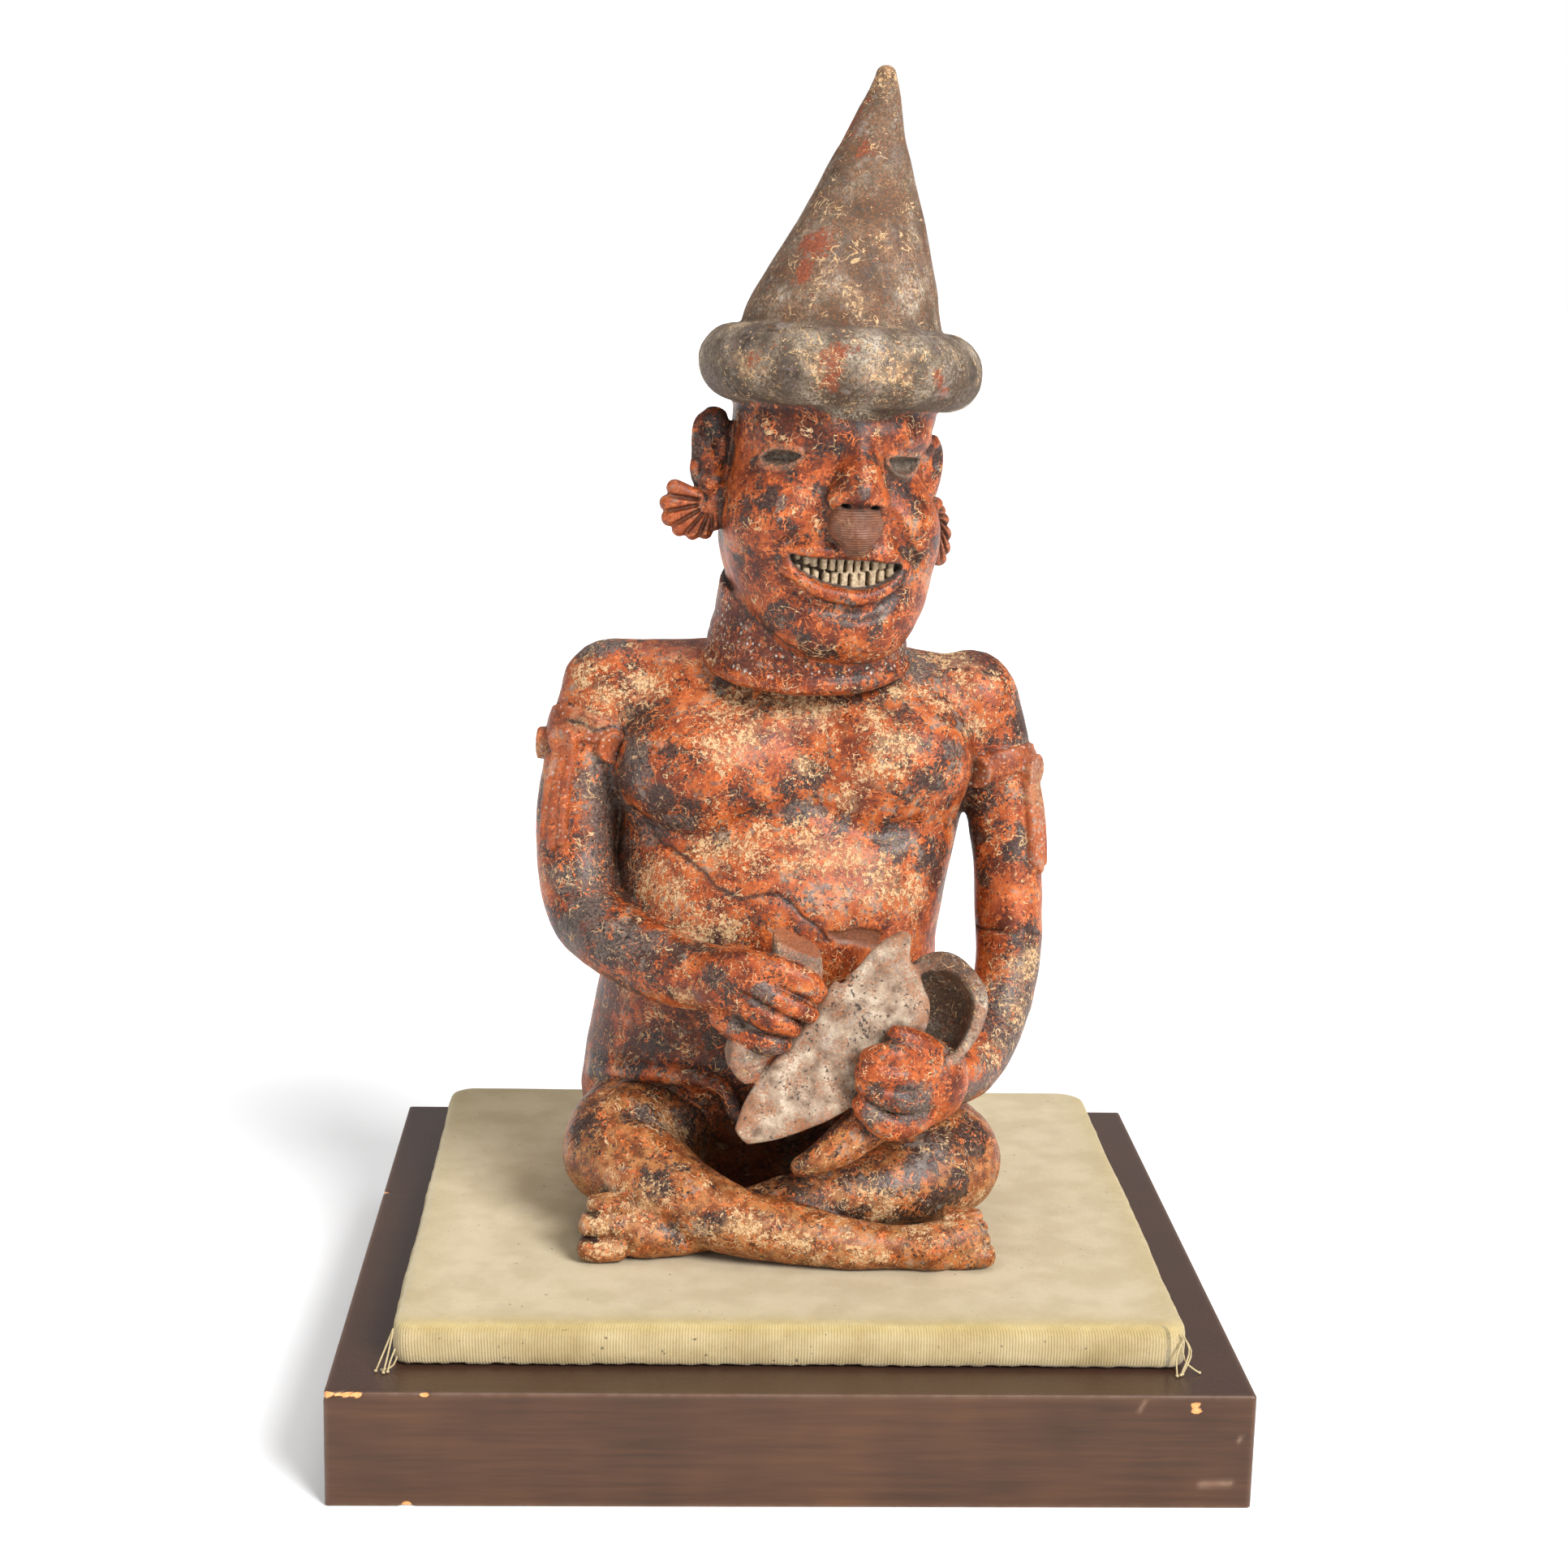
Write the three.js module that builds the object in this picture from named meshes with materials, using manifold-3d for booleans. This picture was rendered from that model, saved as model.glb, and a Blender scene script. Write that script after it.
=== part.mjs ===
// A seated clay figure in a tall pointed hat, on a velvet-covered pad and a wooden plinth.
// Millimetres, +Z up, the figure looks towards -Y. The origin is at the middle of the plinth's underside.
import * as THREE from "three";
import { mergeVertices } from "three/addons/utils/BufferGeometryUtils.js";
import Module from "manifold-3d";

const wasm = await Module();
wasm.setup();

// Driving sizes of the wooden plinth.
const PLINTH_WIDTH = 460;
const PLINTH_DEPTH = 430;
const PLINTH_HEIGHT = 60;
const PLINTH_CORNER = 1.5;
const PLINTH_ROUNDING = 1;

// Driving sizes of the pad, which lies on the plinth and leaves a border of wood all round.
const PAD_BORDER = 30;
const PAD_THICKNESS = 24;
const PAD_CORNER = 9;
const PAD_ROUNDING = 3;

// What rests on another piece stands this far off it.
const GAP = 0.3;

// The figure's height from the pad to the tip of its hat. Its forms are shares of this height:
// their keys are written for a figure 621 mm tall, with z from the pad, and scaled once.
const FIGURE_HEIGHT = 621;
const share = FIGURE_HEIGHT / 621;

const PLINTH_COLOUR = "#54413a";
const VELVET_COLOUR = "#c9b68c";
const CLAY_COLOUR = "#a8532f";

const radians = THREE.MathUtils.degToRad;

// Key rows of numbers, spread to count rows along a smooth curve through the keys.
function spread(keys, count) {
  const last = keys.length - 1;
  const rows = [];
  for (let i = 0; i < count; i++) {
    const at = (i / (count - 1)) * last;
    const k = Math.min(Math.floor(at), last - 1);
    const t = at - k;
    const [a, b, c, d] = [k - 1, k, k + 1, k + 2].map((n) => keys[THREE.MathUtils.clamp(n, 0, last)]);
    const curve = (n) =>
      b[n] +
      0.5 * t * (c[n] - a[n]) +
      0.5 * t * t * (2 * a[n] - 5 * b[n] + 4 * c[n] - d[n]) +
      0.5 * t * t * t * (3 * b[n] - a[n] - 3 * c[n] + d[n]);
    rows.push(b.map((_, n) => curve(n)));
  }
  return rows;
}

// A closed geometry over rings with equally many points, with a fan over each end.
function loft(rings) {
  const sides = rings[0].length;
  const points = rings.flat();
  const index = [];
  for (let r = 0; r < rings.length - 1; r++) {
    for (let s = 0; s < sides; s++) {
      const a = r * sides + s;
      const b = r * sides + ((s + 1) % sides);
      index.push(a, b, b + sides, a, b + sides, a + sides);
    }
  }
  for (const end of [0, rings.length - 1]) {
    const middle = new THREE.Vector3();
    rings[end].forEach((p) => middle.addScaledVector(p, 1 / sides));
    points.push(middle);
    for (let s = 0; s < sides; s++) {
      const a = end * sides + s;
      const b = end * sides + ((s + 1) % sides);
      index.push(...(end ? [a, b, points.length - 1] : [b, a, points.length - 1]));
    }
  }
  return new THREE.BufferGeometry().setFromPoints(points).setIndex(index);
}

// One ring about a centre, with half-axes across and over. A squareness above 2 fills its corners.
function ring(centre, across, over, sides, squareness = 2) {
  const bulge = (v) => Math.sign(v) * Math.abs(v) ** (2 / squareness);
  return Array.from({ length: sides }, (_, s) => {
    const turn = (2 * Math.PI * (s + 0.5)) / sides;
    return centre
      .clone()
      .addScaledVector(across, bulge(Math.cos(turn)))
      .addScaledVector(over, bulge(Math.sin(turn)));
  });
}

// A limb along keys of [x, y, z, half-width, half-height], with rounded ends. up is the way its
// height runs.
function limb(keys, { sides = 8, rings = 7, up = [0, 0, 1], round = 1, squareness = 2 } = {}) {
  const endShare = 0.7;
  const rows = spread(keys.map((k) => (k.length < 5 ? [...k, k[3]] : k)), rings);
  const centres = rows.map(([x, y, z]) => new THREE.Vector3(x, y, z));
  const upward = new THREE.Vector3(...up);
  const made = rows.map(([, , , width, height], i) => {
    const ahead = centres[Math.min(i + 1, rings - 1)].clone().sub(centres[Math.max(i - 1, 0)]).normalize();
    const across = upward.clone().cross(ahead).normalize();
    const over = ahead.clone().cross(across);
    across.multiplyScalar(width);
    over.multiplyScalar(height);
    return { centre: centres[i], ahead, across, over };
  });
  const loop = ({ centre, ahead, across, over }, share, way) => {
    const reach = Math.min(across.length(), over.length()) * round * Math.cos(Math.asin(share)) * way;
    const grow = (axis) => axis.clone().multiplyScalar(share);
    return ring(centre.clone().addScaledVector(ahead, reach), grow(across), grow(over), sides, squareness);
  };
  const all = made.map((row) => loop(row, 1, 0));
  if (round > 0) {
    all.unshift(loop(made[0], endShare, -1));
    all.push(loop(made[rings - 1], endShare, 1));
  }
  return loft(all);
}

// A body of level rings from keys of [height, middle x, middle y, half-width, reach to the front,
// reach to the back].
function stack(keys, { sides = 20, rings = 12, squareness = 2.3 } = {}) {
  const right = new THREE.Vector3(1, 0, 0);
  const back = new THREE.Vector3(0, 1, 0);
  const circle = ring(new THREE.Vector3(), right, back, sides, squareness);
  const levels = spread(keys, rings).map(([z, x, y, width, toFront, toBack]) =>
    circle.map((p) => new THREE.Vector3(x + width * p.x, y + p.y * (p.y > 0 ? toBack : toFront), z)),
  );
  return loft(levels);
}

// An ellipsoid with its half-axes along x, y and z.
function blob([x, y, z], [a, b, c], detail = 12) {
  return new THREE.SphereGeometry(1, detail, Math.round(detail * 0.6)).scale(a, b, c).translate(x, y, z);
}

// A block with half its size along x, y and z.
function block([x, y, z], [a, b, c]) {
  return new THREE.BoxGeometry(2 * a, 2 * b, 2 * c).translate(x, y, z);
}

function solid(geometry) {
  const bare = geometry.clone();
  bare.deleteAttribute("normal");
  bare.deleteAttribute("uv");
  const merged = mergeVertices(bare, 1e-4);
  return new wasm.Manifold(
    new wasm.Mesh({
      numProp: 3,
      vertProperties: new Float32Array(merged.attributes.position.array),
      triVerts: new Uint32Array(merged.index.array),
    }),
  );
}

const joined = (geometries) => geometries.map(solid).reduce((sum, next) => sum.add(next));

function geometryOf(manifold) {
  const mesh = manifold.getMesh();
  return new THREE.BufferGeometry()
    .setAttribute("position", new THREE.BufferAttribute(new Float32Array(mesh.vertProperties), 3))
    .setIndex(new THREE.BufferAttribute(new Uint32Array(mesh.triVerts), 1));
}

// The head's own frame, between the cheeks: x to the figure's left, y to its back, z to its crown.
const HEAD = new THREE.Matrix4()
  .makeTranslation(17, -8, 385)
  .multiply(new THREE.Matrix4().makeRotationZ(radians(9)))
  .multiply(new THREE.Matrix4().makeRotationY(radians(3.5)));
const eyes = [
  [-38, -39],
  [26, -44],
];
const eyeLevel = 35.5;
const fanThickness = 11;

// The hand drum's own frame: x along its plate, y across the plate, z into the shell behind it.
const DRUM = (() => {
  const along = new THREE.Vector3(0.641, 0.177, 0.747).normalize();
  const inward = new THREE.Vector3(0.04, 0.96, -0.26);
  inward.addScaledVector(along, -inward.dot(along)).normalize();
  const across = inward.clone().cross(along);
  return new THREE.Matrix4().makeBasis(along, across, inward).setPosition(17, -101, 126);
})();

// The trunk in its short shirt: chest, belly and the flared hem that lies over the thighs.
function trunk() {
  const body = stack(
    [
      [0, -8, 22, 84, 40, 62],
      [14, -9, 22, 98, 48, 72],
      [40, -10, 20, 102, 52, 76],
      [62, -10, 18, 102, 58, 76],
      [84, -10, 17, 100, 67, 75],
      [118, -9, 16, 95, 72, 72],
      [150, -7, 16, 92, 77, 68],
      [180, -3, 17, 92, 77, 66],
      [215, 2, 19, 95.5, 66, 62],
      [245, 4, 21, 98, 66, 58],
      [270, 5, 22, 97, 58, 54],
      [292, 6, 22, 78, 46, 46],
      [306, 7, 20, 54, 38, 40],
    ],
    { sides: 16, rings: 12 },
  );
  const girdle = limb(
    [
      [-97, 24, 284, 28, 27],
      [-40, 24, 287, 32, 26],
      [50, 24, 284, 32, 26],
      [100, 24, 280, 26, 26],
    ],
    { sides: 10, rings: 5 },
  );
  const chest = [blob([-46, -6, 252], [47, 39, 32], 10), blob([54, -4, 257], [44, 38, 32], 10)];
  const hem = limb(
    [
      [-8, 95, 56, 4],
      [-76, 76, 57, 4],
      [-112, 22, 62, 4],
      [-102, -15, 78, 4],
      [-83, -36, 84, 4],
      [-58, -49, 85, 4],
      [-33, -57, 80, 4],
      [-22, -56, 60, 4],
      [4, -54, 60, 4],
      [17, -56, 80, 4],
      [44, -49, 85, 4],
      [66, -36, 84, 4],
      [84, -15, 78, 4],
      [92, 22, 62, 4],
      [58, 76, 57, 4],
      [-9, 95, 56, 4],
    ],
    { sides: 4, rings: 18 },
  );
  return [body, girdle, ...chest, hem];
}

// A tall choker with a raised rim at its foot, tilted down to the front.
function choker() {
  const collar = stack(
    [
      [-9, 0, 0, 54, 46, 44],
      [-6, 0, 0, 57, 50, 47],
      [-1.5, 0, 0, 57, 50, 47],
      [0, 0, 0, 54.5, 48, 45],
      [8, 0, 0, 53.5, 47, 46],
      [22, 0, 0, 50, 43, 45],
      [40, 0, 0, 48, 38, 45],
    ],
    { sides: 18, rings: 7, squareness: 2.1 },
  );
  return [collar.rotateX(radians(11.5)).translate(8.5, 2, 312)];
}

function head() {
  const skull = stack(
    [
      [-72, 6, -22, 16, 14, 12],
      [-66, 5, -16, 31, 30, 26],
      [-53, 3, -8, 43, 42, 38],
      [-34, 1, -3, 51.5, 50, 46],
      [-12, 0, 0, 57, 53, 52],
      [12, 0, 0, 57.5, 51, 54],
      [36, 0, 0, 56.5, 49, 54],
      [60, 0, 0, 56, 52, 54],
      [84, 0, 0, 53, 53, 52],
    ],
    { sides: 16, rings: 8, squareness: 2.4 },
  );
  const cheeks = [-33, 30].map((x) => blob([x, -20, 3], [24, 28, 26], 9));
  const chin = blob([6, -26, -52], [31, 25, 18], 9);
  const nose = limb(
    [
      [-2, -46, 52, 8, 6],
      [-2, -54, 43, 7, 7],
      [-1.5, -64, 33, 9, 9],
      [-1, -69, 23, 12, 9],
    ],
    { rings: 5, up: [0, -1, 0] },
  );
  const wings = [-11, 9].map((x) => blob([x, -62, 18], [6, 9, 7], 6));
  const ornament = blob([-1, -61, 1], [17, 12, 14.5], 10);
  const lowerLip = limb(
    [
      [-32, -44, -12, 3.5, 4],
      [-24, -54, -23, 5, 5],
      [-1, -58, -33, 5.5, 5.5],
      [22, -54, -26, 5, 5],
      [31, -44, -15, 3.5, 4],
    ],
    { sides: 5, rings: 7 },
  );
  const upperLip = limb(
    [
      [-31, -45, -12, 3, 3],
      [-16, -54, -13, 3.5, 3.5],
      [-1, -57, -13.5, 3.5, 3.5],
      [16, -54, -14, 3.5, 3.5],
      [30, -45, -14, 3, 3],
    ],
    { sides: 4, rings: 5 },
  );
  const forms = [skull, ...cheeks, chin, nose, ...wings, ornament, lowerLip, upperLip];
  return forms.map((g) => g.applyMatrix4(HEAD));
}

// What is cut out of the head: the open mouth, the eye slits and the nostrils.
function hollowsOfHead() {
  const mouth = blob([-1, -52, -21], [28, 14, 8], 10);
  const slits = eyes.map(([x, y]) => blob([x, y, eyeLevel], [11, 8, 4], 9));
  const nostrils = [-10, 9].map((x) => blob([x, -72, 14], [3, 6, 2.4], 6));
  return [mouth, ...slits, ...nostrils].map((g) => g.applyMatrix4(HEAD));
}

// Two bowed rows of teeth set in the open mouth.
function teeth() {
  const rows = [
    [-16.5, 21],
    [-24.5, 18],
  ].map(([level, reach]) =>
    limb(
      [
        [-reach, -42, level, 6, 3],
        [0, -46, level - 1.5, 6, 3],
        [reach, -42, level, 6, 3],
      ],
      { sides: 4, rings: 4, round: 0, squareness: 4 },
    ),
  );
  return rows.map((g) => g.applyMatrix4(HEAD));
}

// An upright leaf of an ear, with a fan of lobes hung from its foot. turn swings the fan backwards.
function ear({ side, out, back, top, turn, fan, drop }) {
  const leaf = limb(
    [
      [side * (out - 4), back + 2, top, 6, 4.5],
      [side * (out + 1), back + 1, top - 9, 10.5, 5.5],
      [side * (out + 1), back, (top + 14) / 2, 11, 6],
      [side * out, back - 1, 10, 8, 6.5],
    ],
    { sides: 6, rings: 5, up: [side * 0.35, -1, 0] },
  );
  const lobes = 6;
  const outline = new THREE.Shape([new THREE.Vector2(-side * 6, 7)]);
  for (let i = 0; i < lobes * 3; i++) {
    const around = radians(158 + 7.5 * i);
    const reach = fan * (i % 3 === 1 ? 1 : 0.9);
    outline.lineTo(-side * reach * Math.cos(around), reach * Math.sin(around));
  }
  const plate = new THREE.ExtrudeGeometry(outline, { depth: fanThickness, bevelEnabled: false })
    .translate(0, 0, -fanThickness / 2)
    .rotateX(Math.PI / 2)
    .rotateZ(side * radians(turn))
    .translate(side * (out + 2), back - 3, 8 - drop);
  return [leaf, plate].map((g) => g.applyMatrix4(HEAD));
}

function ears() {
  return [
    ...ear({ side: -1, out: 63, back: 6, top: 58, turn: 8, fan: 29, drop: 4 }),
    ...ear({ side: 1, out: 51, back: 4, top: 48, turn: 50, fan: 27, drop: 10 }),
  ];
}

function hat() {
  const cone = limb(
    [
      [22, -7, 460, 55],
      [24, -6, 485, 53.5],
      [28, -5, 508, 45.5],
      [32, -3, 533, 36],
      [35.5, -1, 558, 26.5],
      [39, 2, 583, 16.5],
      [42.3, 4, 604, 9.5],
      [43.3, 5, 615.5, 5.5],
    ],
    { sides: 16, rings: 6, up: [0, 1, 0] },
  );
  const brim = new THREE.TorusGeometry(56, 19.5, 8, 18)
    .scale(1, 1, 1.04)
    .rotateX(radians(-4))
    .rotateY(radians(2.2))
    .translate(22.7, -6, 464.5);
  return [cone, brim];
}

function rightArm() {
  const arm = limb(
    [
      [-96, 24, 282, 28],
      [-106, 17, 262, 25],
      [-112.5, 9, 240, 22.5],
      [-116, 3, 214, 22],
      [-116, -3, 190, 21],
      [-109, -18, 167, 21],
      [-88, -42, 156, 20.5],
      [-62, -65, 149, 19.5],
      [-36, -87, 150, 17],
    ],
    { sides: 8, rings: 9, up: [-1, 0, 0.3] },
  );
  const palm = blob([-22, -96, 145], [19, 17, 23], 8);
  const fingers = [
    [-28, 162, 17, 147.5],
    [-30, 154, 11, 138],
    [-31, 144, 3, 130],
    [-31, 131, -3, 123],
  ].map(([x, z, tipX, tipZ]) => {
    const along = (share, rise) => [x + share * (tipX - x), z + share * (tipZ - z) + rise];
    const [x1, z1] = along(0.35, 1.5);
    const [x2, z2] = along(0.7, 1);
    const keys = [
      [x, -101, z, 6],
      [x1, -109, z1, 6.6],
      [x2, -110, z2, 6.4],
      [tipX - 4, -106, tipZ + 1, 5.6],
    ];
    return limb(keys, { sides: 5, rings: 4 });
  });
  const beater = limb(
    [
      [-2, -96, 177, 8.5, 9],
      [-3.5, -97, 166, 11.5, 11],
      [-12, -100, 140, 11, 10],
      [-21, -103, 114, 11, 9],
      [-22, -104, 101, 8, 8],
    ],
    { sides: 7, rings: 4, up: [0, 1, 0], round: 0.5 },
  );
  return [arm, palm, ...fingers, beater];
}

function leftArm() {
  const arm = limb(
    [
      [101, 24, 281, 27],
      [112, 19, 258, 22.5],
      [119, 13, 228, 20.3],
      [122.5, 7, 200, 19.3],
      [124.5, 1, 172, 18.6],
      [124.5, -6, 146, 18],
      [119.5, -20, 119, 17],
      [108, -40, 101, 17],
      [93, -62, 93, 17],
      [78, -84, 97, 16],
    ],
    { sides: 8, rings: 9, up: [1, 0, 0.3] },
  );
  const palm = blob([69, -99, 98], [23, 19, 23], 8);
  const thumb = limb(
    [
      [86, -88, 108, 8],
      [77, -100, 117, 8],
      [66, -109, 125, 7.5],
      [56, -112, 128, 6.5],
    ],
    { sides: 6, rings: 4 },
  );
  const fingers = [
    [78, 112, 60, 118, 38, 115],
    [80, 103, 60, 108, 37, 105],
    [80, 93, 60, 97, 38, 96],
    [74, 83, 57, 79, 37, 91],
  ].map(([x, z, x1, z1, tipX, tipZ]) => {
    const keys = [
      [x, -105, z, 7],
      [x1, -120, z1, 7],
      [(x1 + tipX) / 2, -123, (z1 + tipZ) / 2 - 1, 6.6],
      [tipX, -117, tipZ, 6],
    ];
    return limb(keys, { sides: 5, rings: 4 });
  });
  return [arm, palm, thumb, ...fingers];
}

// The hollow hand drum: a bowl of a shell whose mouth a leaf-shaped plate half covers.
function drum() {
  const plate = limb(
    [
      [-68, 2.5, 0, 6, 3.5],
      [-56, 4.5, 0, 13, 3.5],
      [-40, 7.5, 0, 19, 3.5],
      [-18, 12, 0, 24, 3.5],
      [8, 14, 0, 27, 3.5],
      [30, 13.5, 0, 27, 3.5],
      [42, 8, 0, 20, 3.5],
      [54, 1.5, 0, 11, 3.5],
      [67, -0.5, 0, 3.5, 3],
    ],
    { sides: 6, rings: 9, round: 0.5, squareness: 3 },
  );
  // The bowl is wide at its upper end and narrows to a tongue at its lower end.
  const middle = 9;
  const bowl = (keys) => {
    const levels = keys.map(([depth, length, width]) => [depth, middle, 0, length, width, width]);
    const made = stack(levels, { sides: 14, rings: 4, squareness: 2.4 });
    const at = made.attributes.position;
    for (let i = 0; i < at.count; i++) {
      const upward = (at.getX(i) - middle) / 66;
      at.setY(i, 40 - 5 * upward + at.getY(i) * (0.72 + 0.28 * upward));
    }
    return solid(made);
  };
  const outer = bowl([
    [-2, 65, 30],
    [6, 67, 32],
    [17, 60, 28],
    [31, 28, 14],
  ]);
  const inner = bowl([
    [-5, 59, 23.5],
    [5, 60, 25],
    [14, 53, 21.5],
    [25, 21, 9],
  ]);
  return outer.subtract(inner).add(solid(plate)).transform(DRUM.toArray());
}

function legs() {
  const rightThigh = limb(
    [
      [-50, 22, 44, 38, 36],
      [-68, -8, 46, 40, 36],
      [-86, -40, 44, 35, 33],
    ],
    { sides: 11, rings: 4 },
  );
  const rightShin = limb(
    [
      [-91, -48, 42, 30],
      [-75, -68, 35, 27],
      [-52, -86, 27, 21.5],
      [-25, -99, 20, 18],
      [5, -105, 16, 16],
      [35, -109, 12.5, 13.2],
      [62, -110, 11, 11.5],
      [80, -110, 12, 12],
    ],
    { sides: 8, rings: 7 },
  );
  const leftThigh = limb(
    [
      [46, 22, 42, 36, 34],
      [66, -6, 42, 37, 33],
      [86, -34, 36, 33, 31],
    ],
    { sides: 11, rings: 4 },
  );
  const leftShin = limb(
    [
      [91, -42, 34, 29],
      [76, -58, 32, 26.5],
      [55, -70, 31, 23],
      [28, -79, 28, 19],
      [0, -84, 24, 16.5],
      [-28, -88, 17, 13.5],
      [-54, -94, 11.5, 11],
      [-78, -99, 12, 10.5],
    ],
    { sides: 8, rings: 7 },
  );
  return [rightThigh, rightShin, leftThigh, leftShin];
}

// The feet lie on their sides, with the toes stacked from the big one below to the small one above.
function feet() {
  const right = limb(
    [
      [72, -110, 11, 11, 11],
      [86, -107, 13, 11, 13],
      [99, -105, 14, 11, 13],
    ],
    { rings: 4, round: 0.5 },
  );
  const rightToes = [
    [112, -110, 6, 7, 6],
    [111, -104, 13.5, 6, 3.4],
    [110, -101, 18.5, 6, 3.4],
    [107, -98, 23.8, 6, 3.8],
  ];
  const left = limb(
    [
      [-70, -98, 11.5, 10, 10.5],
      [-84, -97, 14, 11, 13.5],
      [-97, -96, 15.5, 11, 15],
    ],
    { rings: 4, round: 0.5 },
  );
  const leftToes = [
    [-111, -101, 6.5, 8, 6.6],
    [-111, -98, 18.5, 7, 6],
    [-109, -94, 28, 6, 4.2],
  ];
  const toes = [...rightToes, ...leftToes].map(([x, y, z, width, height]) => {
    const keys = [20, 4].map((inset) => [x - Math.sign(x) * inset, y, z, width, height]);
    return limb(keys, { sides: 6, rings: 2 });
  });
  return [right, left, ...toes];
}

// A band round the arm, with round studs, and a ribbed tassel hanging from one of them.
function armband({ at: [x, y, z], radius, studs, tasselAt, tasselDrop, lean }) {
  const band = limb(
    [
      [x - lean, y, z + 7, radius + 1.6],
      [x + lean, y, z - 7, radius + 1.6],
    ],
    { sides: 12, rings: 2, up: [0, 1, 0], round: 0 },
  );
  const outward = (turn, out) => [x + out * Math.sin(radians(turn)), y - out * Math.cos(radians(turn))];
  const made = studs.map((turn) => {
    const keys = [-2, 5].map((out) => [...outward(turn, radius + out), z, 8.6]);
    return limb(keys, { sides: 8, rings: 2, round: 0 });
  });
  const [outX, outY] = [Math.sin(radians(tasselAt)), -Math.cos(radians(tasselAt))];
  const tassel = limb(
    [
      [...outward(tasselAt, radius), z - 4, 7, 3.4],
      [...outward(tasselAt, radius + 0.5), z - tasselDrop / 2, 7.5, 3.4],
      [...outward(tasselAt, radius - 1), z - tasselDrop, 6, 3],
    ],
    { sides: 6, rings: 3, up: [outX, outY, 0], round: 0.5, squareness: 3 },
  );
  return [band, ...made, tassel];
}

function ornaments() {
  const right = { at: [-109, 12, 257], radius: 23.5, studs: [-100, -38, 30], lean: 1 };
  const left = { at: [116, 16, 246], radius: 20.5, studs: [-30, 60, 130], lean: -1 };
  return [
    ...armband({ ...right, tasselAt: -42, tasselDrop: 52 }),
    ...armband({ ...left, tasselAt: 66, tasselDrop: 54 }),
  ];
}

function figure() {
  const upper = joined([...trunk(), ...choker(), ...head(), ...hat(), ...ears()]);
  const flesh = upper.subtract(joined(hollowsOfHead()));
  const limbs = joined([...rightArm(), ...leftArm(), ...ornaments(), ...legs(), ...feet()]);
  const below = solid(block([0, 0, -50], [200, 200, 50]));
  const clay = flesh.add(limbs).add(joined(teeth())).add(drum()).subtract(below);
  return geometryOf(clay).scale(share, share, share);
}

// A block with rounded upright corners and softened edges all round.
function cushion(width, depth, height, corner, rounding) {
  const [a, b] = [width / 2 - rounding, depth / 2 - rounding];
  const shape = new THREE.Shape();
  shape.moveTo(-a + corner, -b);
  shape.absarc(a - corner, -b + corner, corner, -Math.PI / 2, 0);
  shape.absarc(a - corner, b - corner, corner, 0, Math.PI / 2);
  shape.absarc(-a + corner, b - corner, corner, Math.PI / 2, Math.PI);
  shape.absarc(-a + corner, -b + corner, corner, Math.PI, 1.5 * Math.PI);
  return new THREE.ExtrudeGeometry(shape, {
    depth: height - 2 * rounding,
    bevelSize: rounding,
    bevelThickness: rounding,
    bevelSegments: 1,
    curveSegments: 3,
  }).translate(0, 0, rounding);
}

function piece(name, geometry, color, roughness) {
  const mesh = new THREE.Mesh(geometry, new THREE.MeshStandardMaterial({ color, roughness, metalness: 0 }));
  mesh.name = name;
  return mesh;
}

const plinth = piece(
  "plinth",
  cushion(PLINTH_WIDTH, PLINTH_DEPTH, PLINTH_HEIGHT, PLINTH_CORNER, PLINTH_ROUNDING),
  PLINTH_COLOUR,
  0.3,
);

const PAD_WIDTH = PLINTH_WIDTH - 2 * PAD_BORDER;
const PAD_DEPTH = PLINTH_DEPTH - 2 * PAD_BORDER;
const pad = piece(
  "pad",
  cushion(PAD_WIDTH, PAD_DEPTH, PAD_THICKNESS - GAP, PAD_CORNER, PAD_ROUNDING),
  VELVET_COLOUR,
  0.95,
);
pad.position.z = PLINTH_HEIGHT + GAP;

const clayFigure = piece("figure", figure(), CLAY_COLOUR, 0.5);
clayFigure.position.z = PLINTH_HEIGHT + PAD_THICKNESS + GAP;

export default new THREE.Group().add(plinth, pad, clayFigure);
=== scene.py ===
import math

import bpy
import numpy as np
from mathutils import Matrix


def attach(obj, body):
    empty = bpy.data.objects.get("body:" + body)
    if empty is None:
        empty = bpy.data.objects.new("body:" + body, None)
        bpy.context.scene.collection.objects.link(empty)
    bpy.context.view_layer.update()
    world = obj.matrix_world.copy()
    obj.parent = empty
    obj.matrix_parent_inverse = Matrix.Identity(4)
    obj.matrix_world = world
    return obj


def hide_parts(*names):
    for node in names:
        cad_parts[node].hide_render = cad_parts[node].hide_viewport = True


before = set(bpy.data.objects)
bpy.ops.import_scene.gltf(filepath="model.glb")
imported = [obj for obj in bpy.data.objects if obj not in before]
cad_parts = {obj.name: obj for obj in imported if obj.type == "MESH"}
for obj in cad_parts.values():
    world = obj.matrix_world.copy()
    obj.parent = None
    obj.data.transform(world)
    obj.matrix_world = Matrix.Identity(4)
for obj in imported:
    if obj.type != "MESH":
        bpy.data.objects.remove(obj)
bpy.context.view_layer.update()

import openvdb
from mathutils import Matrix, Vector

# Millimetres. The figure's own z starts at its pad.
PLINTH_WIDTH, PLINTH_DEPTH, PLINTH_HEIGHT = 460, 430, 60
PAD_WIDTH, PAD_DEPTH, PAD_THICKNESS = 400, 370, 24
GAP = 0.3
FIGURE_FOOT = PLINTH_HEIGHT + PAD_THICKNESS + GAP

# The clay's grid step, how far from its skin distances are kept, and the most triangles of its mesh
VOXEL = 1.0
REACH = 12.0
MOST_TRIANGLES = 190_000

radians = math.radians


# Shapes in millimetres


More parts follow.
